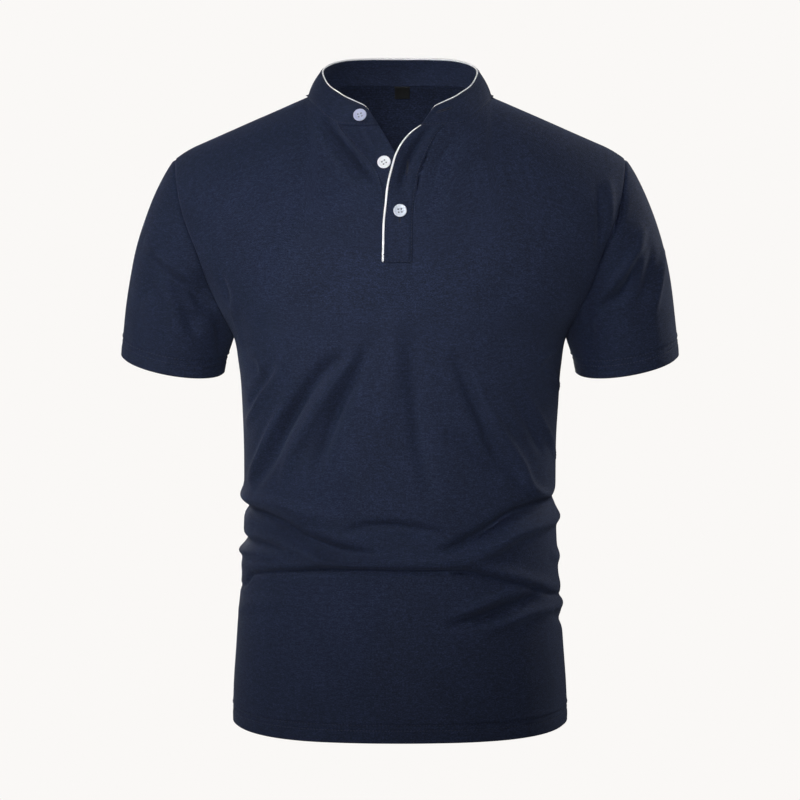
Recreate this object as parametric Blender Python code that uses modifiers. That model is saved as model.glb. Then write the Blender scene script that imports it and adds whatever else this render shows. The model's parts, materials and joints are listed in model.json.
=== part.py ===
"""A short-sleeved polo shirt with a band collar and a half-open placket, in the hollow shape it has when worn.

Frame: metres, +Z up. The front faces -Y and the wearer's left is +X. The origin lies midway between the two
neck points, where the shoulder seams meet the collar, because the shirt hangs from the wearer's shoulders.
Sizes and tables are in millimetres and degrees, and MM turns them into Blender's metres as a mesh is made.
"""

import math
from collections import defaultdict, namedtuple

import bmesh
import bpy
import numpy as np
from mathutils import Matrix, Vector

MM = 0.001

# Cloth and seams
CLOTH = 1.5  # wall of the knit
HEM_CLOTH = 2.6  # where the knit is turned up and stitched
BAND_CLOTH = 2.2  # the collar band is two layers
STRIP_CLOTH = 1.4  # each placket strip
SEAM_GAP = 0.3  # between neighbouring pieces
HEM_DEPTH = 17  # turned-up cloth at the hem and the cuffs
STRIP_LAP = 3  # a strip runs this far over or under the panel it is sewn to
SPLAY_BELOW, SPLAY_BLEND, LEAST_AGREEMENT = 0.75, 0.5, 0.6  # cosines at which a seam counts as a sharp fold
GRAIN = np.array([0.83, 0.46, 0.31])  # edges that face each other across a seam split their cells along this way

# Heights above the neck points, and the shoulder line
HEM = -612
HEM_RISE = 5  # the hem is cut this much higher at the side seams
UNDERARM = -228
SLOT_FOOT = -152  # the front is slit from here up to the neck
STRIP_FOOT = -157
NECK_HALF = 88.8  # half the width between the neck points
SHOULDER_HALF = 219  # half the width between the shoulder tips
SHOULDER_SLOPE = 0.435  # fall of the shoulder seam for each millimetre outwards
TIP_START, TIP_DROP = 196, 4  # the last stretch of the seam turns down by this much more
NECK_SWELL = 7  # inside the neck opening the form swells above the straight shoulder line
ROUNDING_START = -150  # above this height the chest and back round over to the shoulder line
SQUARENESS = 2.35  # of a horizontal section: 2 is an ellipse, more is squarer
ROUNDING = 2.2  # of the turn over the shoulder

# How finely the walls are divided
SHOULDER_COLUMNS = 7
FRONT_NECK_COLUMNS = 7
BACK_NECK_COLUMNS = 6
STRIP_COLUMNS = 4
NECK_CLOSING = 1.6  # columns close up towards the neck point, where the cloth turns fastest
HEM_ROWS, WAIST_ROWS, CHEST_ROWS = 6, 15, 11
WAIST_LOW, WAIST_HIGH = -522, -388  # the folded waist has the closest rows
ARM_ROWS, SHOULDER_ROWS = 5, 11
SLEEVE_ROWS = 10
BAND_ROWS = 4

# Sleeves, for the wearer's left one
CUFF_CENTRE = (223, 6, -258)
CUFF_WIDE, CUFF_DEEP = 48.5, 52  # half sizes of the cuff's opening
CUFF_ROLL = 10  # the cuff is this many degrees lower at the body side
CUFF_PITCH = 10  # and this many lower at the front
CUFF_WAY = (0.11, 0, -0.99)  # the sleeve runs into the cuff this way
TIP_FALL, PIT_FALL = 52, 74  # its slope in degrees where it leaves the shoulder tip and the underarm
SLEEVE_SPREAD = 0.12  # and how much it spreads to the front and back there

# Edging, label and buttons
EDGING_WIDE, EDGING_THICK = 2.1, 1.3
LABEL_LEFT, LABEL_RIGHT, LABEL_TALL, LABEL_THICK, LABEL_SEAT = 10, -6, 13, 1.0, 0.45
BUTTON_RADIUS = 6.35
BUTTON_SEAT = 0.35  # a button stands this far off the cloth
HOLE_RADIUS, HOLE_PITCH = 0.85, 1.35  # a button's four holes, and how far each lies from its middle lines

Section = namedtuple("Section", "height half_width front back")
SECTIONS = (  # horizontal sections: half the width, and how far the front and the back lie from the side seams
    Section(-614, 164, 117, 100),
    Section(-560, 162, 115, 96),
    Section(-500, 158, 112, 88),
    Section(-450, 154, 108, 81),
    Section(-400, 152, 106, 78),
    Section(-350, 152, 108, 83),
    Section(-300, 154, 113, 92),
    Section(-260, 157, 117, 99),
    Section(-228, 163, 119, 103),
    Section(-200, 182, 118, 106),
    Section(-150, 211, 112, 107),
    Section(-118, 226, 104, 105),
    Section(-80, 235, 94, 101),
    Section(-40, 236, 86, 97),
    Section(12, 236, 80, 92),
)

Armhole = namedtuple("Armhole", "height front back")
ARMHOLE = (  # how far from the centre line the armhole seam lies, seen from the front and from the back
    Armhole(-228, 163, 163),
    Armhole(-202, 175.5, 174),
    Armhole(-176, 187, 186),
    Armhole(-150, 195.5, 196),
    Armhole(-118, 208, 206),
    Armhole(-83, 216.5, 214.5),
    Armhole(-61, 219, 219),
)

Collar = namedtuple("Collar", "turn seam_height rim_out rim_back rim_height")
COLLAR = (  # round the neck from the centre back: the sewn seam's height, and where the band's upper rim lies
    Collar(0, 12, 0, 44, 37.5),
    Collar(22, 11.9, 30, 41.5, 37.2),
    Collar(40, 10.8, 52, 33, 35.8),
    Collar(55, 7, 64, 24.5, 33.4),
    Collar(70, 2.8, 72, 14.5, 30),
    Collar(90, 0, 76.3, 2, 24.5),
    Collar(105, -5, 74.2, -12, 18),
    Collar(116, -10.5, 70.4, -22, 12),
    Collar(125, -17.5, 65.3, -30, 7.2),
    Collar(132, -23, 60, -37, 3.7),
    Collar(140, -26.5, 54, -43, -0.2),
    Collar(152, -27.5, 44, -51, -5),
    Collar(167, -27.5, 30, -58, -11),
)
BAND_BULGE = 1.6  # the band swells by this much between its seam and its rim

Opening = namedtuple("Opening", "height panel_right under_edge over_edge over_seam lift")
OPENING = (  # sideways places of the edges round the opening, and how far the outer strip's free edge lifts
    Opening(-157, -14.6, 11, -14.9, 11.7, 0),
    Opening(-140, -14.6, 11, -14.5, 12, 0),
    Opening(-118, -14.8, 11, -13.9, 12.2, 0.5),
    Opening(-100, -15.1, 11, -12, 13.5, 2),
    Opening(-85, -17.5, 8, -10.3, 15.2, 4),
    Opening(-68, -24.5, 1.5, -6.3, 19, 5),
    Opening(-54, -35.8, -5.4, -2, 24.8, 4.5),
    Opening(-42, -47, -12.2, 5, 31.5, 3),
    Opening(-34, -54.5, -17, 12.3, 36.5, 1.5),
    Opening(-27.5, -58.6, -21.4, 21.2, 43, 0),
)

Button = namedtuple("Button", "name piece side height tilt")
BUTTONS = (  # what each lies on, where it is seen from the front, and the turn of its holes
    Button("button_collar", "collar_band", -38, -18.8, 20),
    Button("button_middle", "placket_under", -15, -63.5, 35),
    Button("button_lower", "placket_over", 0, -109, 8),
)

Fold = namedtuple("Fold", "turn_a height_a turn_b height_b turn_c height_c rise width")
FOLDS = (  # each runs through three places on the body, turning from the centre front to the wearer's left
    Fold(-96, -396, -38, -408, -4, -434, -7, 10),
    Fold(-66, -391, -28, -399, -3, -374, 4, 11),
    Fold(-88, -452, 0, -449, 72, -477, -8, 9),
    Fold(-60, -438, 0, -437, 82, -468, 5, 10),
    Fold(12, -427, 32, -407, 66, -388, -5, 10),
    Fold(12, -446, 34, -436, 70, -420, 4, 9),
    Fold(0, -411, 20, -402, 64, -376, 4, 10),
    Fold(12, -499, 33, -491, 78, -470, -5, 9),
    Fold(-9, -236, -19, -297, -33, -356, -4, 15),
    Fold(-20, -246, -43, -317, -76, -386, -5, 15),
    Fold(-16, -246, -36, -345, -54, -394, 4, 14),
    Fold(12, -240, 30, -316, 80, -384, 4, 13),
    Fold(16, -316, 34, -345, 66, -384, -4, 12),
    Fold(95, -400, 138, -428, 178, -440, -7, 11),
    Fold(262, -404, 228, -424, 190, -452, -6, 11),
    Fold(108, -456, 176, -468, 250, -455, -8, 10),
    Fold(112, -441, 178, -452, 244, -441, 5, 10),
    Fold(166, -250, 150, -318, 118, -384, -4, 15),
    Fold(200, -262, 218, -330, 246, -388, -4, 15),
    Fold(118, -492, 150, -500, 205, -498, -4, 11),
)
SleeveFold = namedtuple("SleeveFold", "side turn_a along_a turn_b along_b rise width")
SLEEVE_FOLDS = (  # turns start at the underarm and pass the front; along is the share of the sleeve's length
    SleeveFold(-1, 118, 0.3, 58, 0.62, 3, 12),
    SleeveFold(-1, 112, 0.5, 52, 0.78, -3, 11),
    SleeveFold(1, 128, 0.25, 66, 0.72, 3, 11),
    SleeveFold(1, 112, 0.62, 60, 0.88, -3, 10),
    SleeveFold(-1, 236, 0.4, 300, 0.72, -3, 12),
    SleeveFold(1, 244, 0.35, 306, 0.66, -3, 12),
)
FOLD_STEPS = 16


# The worn form


def column(table, name):
    """One named column of a table, as an array."""
    return np.array([getattr(row, name) for row in table], float)


def smooth(table, name, at, by="height"):
    """The named column at any place, along a cubic curve through the table's rows."""
    xs, ys = column(table, by), column(table, name)
    slopes = np.gradient(ys, xs)
    at = np.clip(at, xs[0], xs[-1])
    i = np.clip(np.searchsorted(xs, at) - 1, 0, len(xs) - 2)
    step = xs[i + 1] - xs[i]
    t = (at - xs[i]) / step
    near = (1 + 2 * t) * (1 - t) ** 2 * ys[i] + t * (1 - t) ** 2 * step * slopes[i]
    far = t**2 * (3 - 2 * t) * ys[i + 1] + t**2 * (t - 1) * step * slopes[i + 1]
    return near + far


def unit(vectors):
    """The same vectors at length 1."""
    return vectors / np.maximum(np.linalg.norm(vectors, axis=-1, keepdims=True), 1e-9)


def round_off(share, power):
    """A superellipse's height: 1 in the middle and 0 at the rim."""
    return np.clip(1 - np.abs(share) ** power, 0, None) ** (1 / power)


def shoulder_line(x):
    """Height of the shoulder line, which goes on rising over the neck opening, a little faster at first."""
    turn_down = np.clip((np.abs(x) - TIP_START) / (SHOULDER_HALF - TIP_START), 0, None)
    swell = np.sin(math.pi * np.clip(1 - np.abs(x) / NECK_HALF, 0, 1))
    return -SHOULDER_SLOPE * (np.abs(x) - NECK_HALF) - TIP_DROP * turn_down**2 + NECK_SWELL * swell


def form(x, z, face):
    """Points of the worn form over sideways places x and heights z, in front (face -1) or behind (face 1)."""
    x, z = np.broadcast_arrays(np.asarray(x, float), np.asarray(z, float))
    reach = smooth(SECTIONS, "front" if face < 0 else "back", z)
    across = round_off(x / smooth(SECTIONS, "half_width", z), SQUARENESS)
    rise = np.clip((z - ROUNDING_START) / (shoulder_line(x) - ROUNDING_START), 0, 1)
    return np.stack([x, face * reach * across * round_off(rise, ROUNDING), z], axis=-1)


def at_turn(turn, z):
    """Points of the form below the shoulders, at turns from the centre front to the wearer's left."""
    x = smooth(SECTIONS, "half_width", z) * np.sin(np.radians(turn))
    face = np.where(np.cos(np.radians(turn)) < 0, 1, -1)
    return np.where(face[..., None] < 0, form(x, z, -1), form(x, z, 1))


def outward(points):
    """The level way out of the form at points on it."""
    x, y, z = np.moveaxis(points, -1, 0)
    half = smooth(SECTIONS, "half_width", z)
    reach = np.where(y < 0, smooth(SECTIONS, "front", z), smooth(SECTIONS, "back", z))
    return unit(np.stack([x / half**2, y / reach**2, np.zeros_like(x)], axis=-1))


def neck_seam(turn):
    """(x, z) of the seam under the collar band, at turns from the centre back, positive to the wearer's left."""
    turn = np.asarray(turn, float)
    return NECK_HALF * np.sin(np.radians(turn)), smooth(COLLAR, "seam_height", np.abs(turn), by="turn")


def turn_at(x):
    """The turn of the front neck seam at sideways places x."""
    return 180 - np.degrees(np.arcsin(np.abs(x) / NECK_HALF))


# Folds


def distance_to(path, points):
    """Distance of each point from a path of straight steps, and how far along the path its nearest place lies."""
    nearest = np.full(points.shape[:-1], np.inf)
    along = np.zeros(points.shape[:-1])
    for i, (start, end) in enumerate(zip(path, path[1:])):
        step = end - start
        t = np.clip(((points - start) @ step) / (step @ step), 0, 1)
        away = np.linalg.norm(points - start - t[..., None] * step, axis=-1)
        along = np.where(away < nearest, (i + t) / (len(path) - 1), along)
        nearest = np.minimum(nearest, away)
    return nearest, along


def push(path, rise, width, points):
    """A soft ridge along the path, or a trough where rise is negative, which dies away at both ends."""
    away, along = distance_to(path, points)
    return rise * np.exp(-((away / width) ** 2)) * np.sqrt(np.clip(4 * along * (1 - along), 0, 1))


def body_folds(points):
    """The body's points with every fold pressed into them."""
    t = np.linspace(0, 1, FOLD_STEPS + 1)
    total = np.zeros(points.shape[:-1])
    for fold in FOLDS:
        turn, height = (
            2 * (1 - t) * (0.5 - t) * a + 4 * t * (1 - t) * b + 2 * t * (t - 0.5) * c
            for a, b, c in (
                (fold.turn_a, fold.turn_b, fold.turn_c),
                (fold.height_a, fold.height_b, fold.height_c),
            )
        )
        total += push(at_turn(turn, height), fold.rise, fold.width, points)
    return points + outward(points) * total[..., None]


# Outer points of the panels


def row_heights():
    """Heights of the rows up to the underarm."""
    hem = np.linspace(HEM + HEM_DEPTH, WAIST_LOW, HEM_ROWS)
    waist = np.linspace(WAIST_LOW, WAIST_HIGH, WAIST_ROWS + 1)[1:]
    chest = np.linspace(WAIST_HIGH, UNDERARM, CHEST_ROWS + 1)[1:]
    return np.concatenate([[HEM], hem, waist, chest])


def climb():
    """Shares of the way up from the underarm to the neck: even to the slot's foot, then closing up at the top."""
    foot = (SLOT_FOOT - UNDERARM) / (COLLAR[-1].seam_height - UNDERARM)
    low = np.linspace(0, foot, ARM_ROWS + 1)[1:]
    high = foot + (1 - foot) * np.sin(np.linspace(0, math.pi / 2, SHOULDER_ROWS + 1))[1:]
    return np.concatenate([low, high])


LOW_ROWS = row_heights()
CLIMB = climb()
OPENING_ROWS = UNDERARM + (COLLAR[-1].seam_height - UNDERARM) * CLIMB
UNDERARM_ROW = len(LOW_ROWS) - 1


def to_neck_point(start, steps):
    """Turns from the start to the neck point at 90, closer together as they reach it."""
    return 90 + (start - 90) * np.linspace(1, 0, steps + 1) ** NECK_CLOSING


def slot_edge(z, side):
    """Sideways place of the front's cut edge on the wearer's left (side 1) or right (side -1)."""
    if side < 0:
        return smooth(OPENING, "panel_right", z)
    return smooth(OPENING, "over_seam", z) - STRIP_LAP


def half_panel(face, side):
    """Outer points of half the front (face -1) or back (face 1): rows from the hem up, columns from the centre
    out. Above the underarm the rows bend, so that the last one is the neck and shoulder seam."""
    columns = (FRONT_NECK_COLUMNS if face < 0 else BACK_NECK_COLUMNS) + SHOULDER_COLUMNS
    across = np.linspace(0, 1, columns + 1)
    swing = np.sin(across * math.pi / 2)
    rows = LOW_ROWS[:, None]
    low_z = rows + HEM_RISE * swing**6 * np.clip((WAIST_LOW - rows) / (WAIST_LOW - HEM), 0, 1)
    low_x = smooth(SECTIONS, "half_width", low_z) * swing

    if face < 0:
        edge = float(slot_edge(COLLAR[-1].seam_height, side))
        lap = edge + side * STRIP_LAP
        neck_turns = np.concatenate([[turn_at(edge)], to_neck_point(turn_at(lap), FRONT_NECK_COLUMNS - 1)])
    else:
        neck_turns = to_neck_point(0, BACK_NECK_COLUMNS)
    neck_x, neck_z = neck_seam(neck_turns)
    shoulder_x = np.linspace(NECK_HALF, SHOULDER_HALF, SHOULDER_COLUMNS + 1)[1:]
    top_x = np.concatenate([neck_x, shoulder_x])
    top_z = np.concatenate([neck_z, shoulder_line(shoulder_x)])

    up = CLIMB[:, None]
    centre_z = UNDERARM + (top_z[0] - UNDERARM) * up
    open_here = (OPENING_ROWS[:, None] > SLOT_FOOT + 1) & (face < 0)
    centre_x = np.where(open_here, side * slot_edge(OPENING_ROWS[:, None], side), 0)
    arm_z = UNDERARM + (top_z[-1] - UNDERARM) * up
    arm_x = smooth(ARMHOLE, "front" if face < 0 else "back", arm_z)

    def between_edges(bottom, top, centre, arm):
        """A Coons patch, which runs through all four edges."""
        corners = (1 - up) * ((1 - across) * bottom[0] + across * bottom[-1])
        corners = corners + up * ((1 - across) * top[0] + across * top[-1])
        return (1 - up) * bottom + up * top + (1 - across) * centre + across * arm - corners

    high_x = between_edges(low_x[-1], top_x, centre_x, arm_x)
    high_z = between_edges(low_z[-1], top_z, centre_z, arm_z)
    return body_folds(form(side * np.concatenate([low_x, high_x]), np.concatenate([low_z, high_z]), face))


def sleeve(front_half, back_half, side):
    """Outer points of a sleeve: rows from the armhole seam to the cuff, columns round it from the underarm by
    the front. Each column is a cubic curve that leaves the seam and runs into the cuff."""
    front_edge, back_edge = front_half[UNDERARM_ROW:, -1], back_half[UNDERARM_ROW:, -1]
    seam = np.concatenate([front_edge, back_edge[-2::-1]])
    steps = len(front_edge) - 1
    turn = np.concatenate([np.linspace(0, 180, steps + 1), np.linspace(180, 360, steps + 1)[1:]])
    turn_rad = np.radians(turn)[:, None]

    roll, pitch = math.radians(CUFF_ROLL), math.radians(CUFF_PITCH)
    mirror = np.array([side, 1, 1])
    wide = np.array([math.cos(roll), 0, math.sin(roll)]) * mirror
    deep = np.array([0, -math.cos(pitch), -math.sin(pitch)])
    cuff = np.array(CUFF_CENTRE) * mirror
    cuff = cuff - CUFF_WIDE * np.cos(turn_rad) * wide + CUFF_DEEP * np.sin(turn_rad) * deep

    fall = np.radians(PIT_FALL + (TIP_FALL - PIT_FALL) * (1 - np.cos(turn_rad)) / 2)
    leave = np.concatenate([side * np.cos(fall), -SLEEVE_SPREAD * np.sin(turn_rad), -np.sin(fall)], axis=1)
    reach = np.linalg.norm(cuff - seam, axis=1, keepdims=True) / 3
    first, second = seam + reach * unit(leave), cuff - reach * unit(np.array(CUFF_WAY) * mirror)
    t = np.linspace(0, 1, SLEEVE_ROWS + 1)[:, None, None]
    points = (1 - t) ** 3 * seam + 3 * t * (1 - t) ** 2 * first + 3 * t**2 * (1 - t) * second + t**3 * cuff

    axis = (points[:, :-1].mean(axis=1, keepdims=True) + points[:, [0]]) / 2
    away = unit(points - axis)
    total = np.zeros(points.shape[:-1])
    for fold in SLEEVE_FOLDS:
        if fold.side == side:
            share = np.linspace(0, 1, FOLD_STEPS + 1)
            row = (fold.along_a + (fold.along_b - fold.along_a) * share) * SLEEVE_ROWS
            place = np.interp(fold.turn_a + (fold.turn_b - fold.turn_a) * share, turn, np.arange(len(turn)))
            total += push(spots(points, row, place), fold.rise, fold.width, points)
    return points + away * (total * np.sin(np.pi * t[..., 0]))[..., None]


def spots(points, row, place):
    """Points between the rows and columns of a grid."""
    row, place = np.broadcast_arrays(np.asarray(row, float), np.asarray(place, float))
    r = np.clip(row.astype(int), 0, points.shape[0] - 2)
    c = np.clip(place.astype(int), 0, points.shape[1] - 2)
    u, v = (row - r)[..., None], (place - c)[..., None]
    low = (1 - v) * points[r, c] + v * points[r, c + 1]
    high = (1 - v) * points[r + 1, c] + v * points[r + 1, c + 1]
    return (1 - u) * low + u * high


def strip(side):
    """Points on the form under a placket strip: the outer one is sewn on the wearer's left (side 1). Rows go
    from its foot to the neck, columns from its free edge to its seam, the last one over the panel's edge."""
    share = np.append(np.linspace(0, 1, STRIP_COLUMNS), 1)
    lap = np.append(np.zeros(STRIP_COLUMNS), side * STRIP_LAP)
    free_edge = "over_edge" if side > 0 else "under_edge"

    rows = np.concatenate([[STRIP_FOOT], OPENING_ROWS[ARM_ROWS - 1 :]])[:, None]
    free = smooth(OPENING, free_edge, rows)
    x = free + (slot_edge(rows, side) - free) * share + lap
    top_rise = neck_seam(turn_at(x[-1]))[1] - COLLAR[-1].seam_height
    z = rows + top_rise * np.clip((rows - UNDERARM) / (OPENING_ROWS[-1] - UNDERARM), 0, 1)
    points = form(x, z, -1)
    if side > 0:
        points[..., 1] -= smooth(OPENING, "lift", rows) * (1 - share) ** 1.5
    return points


def collar_turns():
    """Turns of the band's columns, which are those of the pieces below it."""
    turns = []
    for side in (1, -1):
        front = turn_at(strip(side)[-1, :, 0])
        panel = to_neck_point(front[-1], FRONT_NECK_COLUMNS - 1)[1:]
        behind = to_neck_point(0, BACK_NECK_COLUMNS)[-2::-1]
        turns.append(side * np.concatenate([front, panel, behind]))
    return np.concatenate([turns[0], turns[1][-2::-1]])


def collar_band():
    """Outer points of the band: rows from the neck seam to the rim, columns from its left end to its right."""
    turns = collar_turns()
    x, z = neck_seam(turns)
    seam = np.where(np.abs(turns)[:, None] <= 90, form(x, z, 1), form(x, z, -1))
    size = np.abs(turns)
    rim = np.stack(
        [
            np.sign(turns) * smooth(COLLAR, "rim_out", size, by="turn"),
            smooth(COLLAR, "rim_back", size, by="turn"),
            smooth(COLLAR, "rim_height", size, by="turn"),
        ],
        axis=-1,
    )
    share = np.linspace(0, 1, BAND_ROWS + 1)[:, None, None]
    level = unit(seam * np.array([1, 1, 0]))
    return (1 - share) * seam + share * rim + BAND_BULGE * np.sin(math.pi * share) * level


# Tailoring

Piece = namedtuple("Piece", "name group points thickness offset material")


def key(point):
    """A place, the same for pieces that meet there."""
    return tuple(np.round(np.asarray(point) * 1000).astype(int).tolist())


class Cloth:
    """A piece's four-sided cells, with repeated points joined, and the ways out of them."""

    def __init__(self, piece):
        grid = piece.points
        flat = grid.reshape(-1, 3)
        _, first, index = np.unique(np.round(flat * 1000).astype(int), axis=0, return_index=True, return_inverse=True)
        self.index = index.reshape(grid.shape[:2])
        corners = self.index[:-1, :-1], self.index[:-1, 1:], self.index[1:, 1:], self.index[1:, :-1]
        cells = np.stack(corners, axis=-1)
        if piece.name == "front":  # its two halves lie side by side in the grid, and no cells join them
            cells = np.delete(cells, cells.shape[1] // 2, axis=1)
        self.piece = piece
        self.cells = cells.reshape(-1, 4)
        self.points = flat[first]
        self.thickness = np.broadcast_to(piece.thickness, grid.shape[:2]).reshape(-1)[first]
        a, b, c, d = (self.points[self.cells[:, i]] for i in range(4))
        ways = np.zeros_like(self.points)
        for i in range(4):
            np.add.at(ways, self.cells[:, i], np.cross(c - a, d - b))
        self.ways = unit(ways)
        edges = {(cell[i], cell[(i + 1) % 4]) for cell in self.cells.tolist() for i in range(4)}
        self.rim = [edge for edge in edges if (edge[1], edge[0]) not in edges and edge[0] != edge[1]]

    def tailor(self, means, names):
        """Both skins of the wall. Pieces that meet share one way in at each point of their seam, and each draws
        back from it by half the seam's gap. A sharp inward fold splays its two walls apart."""
        mean = np.array([means[key(point)] for point in self.points])
        pulls = defaultdict(list)
        for start, end in self.rim:
            sewn = (names[key(self.points[start])] & names[key(self.points[end])]) - {self.piece.name}
            for corner in (start, end):
                inside = unit(np.cross(mean[corner], self.points[end] - self.points[start]))
                pulls[corner].append((inside, SEAM_GAP / 2 if sewn else 0))
        drawn = self.points.copy()
        for corner, pairs in pulls.items():
            ways = np.array([inside for inside, _ in pairs])
            drawn[corner] += np.linalg.pinv(ways, rcond=0.2) @ np.array([gap for _, gap in pairs])

        agree = np.sum(mean * self.ways, axis=1, keepdims=True)
        way = unit(mean + np.clip((SPLAY_BELOW - agree) / SPLAY_BLEND, 0, 1) * self.ways)
        way = way / np.maximum(np.sum(way * self.ways, axis=1, keepdims=True), LEAST_AGREEMENT)
        self.outer = drawn + way * self.piece.offset
        self.inner = self.outer - way * self.thickness[:, None]

    def skins(self):
        """The outer and inner skin as grids."""
        return self.outer[self.index], self.inner[self.index]

    def close(self):
        """The wall as one closed solid."""
        count = len(self.points)
        cells = self.cells.tolist()
        faces = cells + [[corner + count for corner in reversed(cell)] for cell in cells]
        for start, end in self.rim:
            inner_start, inner_end = start + count, end + count
            if np.dot(self.points[end] - self.points[start], GRAIN) > 0:
                faces += [[end, start, inner_end], [start, inner_start, inner_end]]
            else:
                faces += [[end, start, inner_start], [end, inner_start, inner_end]]
        mesh = bpy.data.meshes.new(self.piece.name)
        mesh.from_pydata((np.concatenate([self.outer, self.inner]) * MM).tolist(), [], faces)
        mesh.validate()
        mesh.shade_smooth()
        mesh.set_sharp_from_angle(angle=math.radians(60))
        add(self.piece.name, mesh, self.piece.material)


def shared_ways(cloths):
    """At each place, the mean way out of the groups of pieces that meet there, and the pieces' names."""
    ways = defaultdict(lambda: defaultdict(lambda: np.zeros(3)))
    names = defaultdict(set)
    for cloth in cloths:
        for point, way in zip(cloth.points, cloth.ways):
            ways[key(point)][cloth.piece.group] += way
            names[key(point)].add(cloth.piece.name)
    means = {place: unit(sum(unit(way) for way in groups.values())) for place, groups in ways.items()}
    return means, names


def close_trim(name, outer, inner, surface):
    """A closed piece between two given skins."""
    trim = Cloth(Piece(name, name, outer, 0, 0, surface))
    order = np.empty(len(trim.points), int)
    order[trim.index.reshape(-1)] = np.arange(trim.index.size)
    trim.outer, trim.inner = trim.points, inner.reshape(-1, 3)[order]
    trim.close()


def add(name, mesh, surface):
    """A named object in the shirt's collection."""
    mesh.materials.append(surface)
    obj = bpy.data.objects.new(name, mesh)
    SHIRT.objects.link(obj)
    return obj


def material(name, colour, roughness):
    """A plain Principled material. The colour is linear RGB."""
    made = bpy.data.materials.new(name)
    made.use_nodes = True
    shader = made.node_tree.nodes["Principled BSDF"]
    shader.inputs["Base Color"].default_value = (*colour, 1)
    shader.inputs["Roughness"].default_value = roughness
    return made


def hem_thickness(points, free_edge):
    """The wall is thicker within the turned-up hem above a free edge."""
    away = np.linalg.norm(points - free_edge, axis=-1)
    return np.where(away < HEM_DEPTH + 1, HEM_CLOTH, CLOTH)


# Buttons


def button(name, centre, way, tilt):
    """A turned button with a sunk face and four holes, standing off the cloth along its way out."""
    profile = [(0, 0), (5.2, 0), (6.1, 0.5), (BUTTON_RADIUS, 1.2), (5.9, 1.9), (5.2, 2.0), (4.1, 1.4), (0, 1.3)]
    mesh = bpy.data.meshes.new(name)
    mesh.from_pydata(
        [(radius * MM, 0, height * MM) for radius, height in profile], [(i, i + 1) for i in range(len(profile) - 1)], []
    )
    disc = add(name, mesh, RESIN)
    turned = disc.modifiers.new("turned", "SCREW")
    turned.steps = turned.render_steps = 20
    turned.use_merge_vertices = True
    turned.merge_threshold = 0.01 * MM
    turned.use_normal_calculate = True

    drill = bpy.data.meshes.new(name + "_holes")
    made = bmesh.new()
    for across in (-HOLE_PITCH, HOLE_PITCH):
        for along in (-HOLE_PITCH, HOLE_PITCH):
            place = Matrix.Translation((across * MM, along * MM, MM))
            bmesh.ops.create_cone(
                made, cap_ends=True, segments=8, radius1=HOLE_RADIUS * MM, radius2=HOLE_RADIUS * MM, depth=6 * MM,
                matrix=place,
            )
    made.to_mesh(drill)
    made.free()
    cutter = add(name + "_holes", drill, RESIN)
    cutter.parent = disc
    cutter.hide_render = True
    cutter.display_type = "WIRE"
    holes = disc.modifiers.new("holes", "BOOLEAN")
    holes.operation = "DIFFERENCE"
    holes.solver = "EXACT"
    holes.object = cutter

    turn = Vector(way).to_track_quat("Z", "Y")
    disc.rotation_mode = "QUATERNION"
    disc.rotation_quaternion = turn @ Matrix.Rotation(math.radians(tilt), 3, "Z").to_quaternion()
    disc.location = Vector(centre) * MM


# The pieces


def facing(points, middle):
    """The grid with its columns in the order that makes it face away from the middle."""
    across, up = points[0, 1] - points[0, 0], points[1, 0] - points[0, 0]
    return points if np.dot(np.cross(across, up), points[0, 0] - middle) > 0 else points[:, ::-1]


def sewn_pieces():
    """Every piece that is sewn along a seam, with its outer points on the seams' own surface."""
    halves = {(face, side): half_panel(face, side) for face in (-1, 1) for side in (-1, 1)}
    front = np.concatenate([halves[-1, -1][:, ::-1], halves[-1, 1]], axis=1)
    back = np.concatenate([halves[1, 1][:, ::-1], halves[1, -1][:, 1:]], axis=1)
    made = [
        Piece("front", "body", front, hem_thickness(front, front[:1]), 0, NAVY),
        Piece("back", "body", back, hem_thickness(back, back[:1]), 0, NAVY),
    ]
    for side, name in ((1, "sleeve_left"), (-1, "sleeve_right")):
        tube = sleeve(halves[-1, side], halves[1, side], side)[::-1]
        tube = facing(tube, tube[0].mean(axis=0))
        made.append(Piece(name, "sleeve", tube, hem_thickness(tube, tube[:1]), 0, NAVY))
    inside = np.array([0, 0, HEM / 2])
    made += [
        Piece("collar_band", "band", facing(collar_band(), np.zeros(3)), BAND_CLOTH, 0, NAVY),
        Piece("placket_over", "body", facing(strip(1), inside), STRIP_CLOTH, SEAM_GAP + STRIP_CLOTH, NAVY),
        Piece("placket_under", "body", facing(strip(-1), inside), STRIP_CLOTH, -SEAM_GAP - CLOTH, NAVY),
    ]
    return made


def edging(name, outer_edge, inner_edge, beyond):
    """A flat tape that stands on beyond the edge of a wall, in the middle of the wall's thickness."""
    cloth = np.linalg.norm(outer_edge - inner_edge, axis=1, keepdims=True)
    share = np.clip((1 - EDGING_THICK / cloth) / 2, 0.02, None)
    near, far = beyond * SEAM_GAP, beyond * (SEAM_GAP + EDGING_WIDE)
    outer = outer_edge + (inner_edge - outer_edge) * share
    inner = inner_edge + (outer_edge - inner_edge) * share
    close_trim(name, np.stack([outer + near, outer + far]), np.stack([inner + near, inner + far]), PALE)


def neck_label(outer, inner):
    """A small label on the inside of the back, hanging from the neck seam."""
    middle = outer.shape[1] // 2
    sides, heights = outer[-1, :, 0], outer[:, middle, 2]
    places = np.interp([-LABEL_LEFT, 0, -LABEL_RIGHT], -sides, np.arange(len(sides)))
    rows = np.interp([heights[-1] - LABEL_TALL - 1, heights[-1] - 1], heights, np.arange(len(heights)))
    cloth = spots(inner, rows[:, None], places[None, :])
    way = unit(cloth - spots(outer, rows[:, None], places[None, :]))
    close_trim("neck_label", cloth + way * LABEL_SEAT, cloth + way * (LABEL_SEAT + LABEL_THICK), BLACK)


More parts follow.
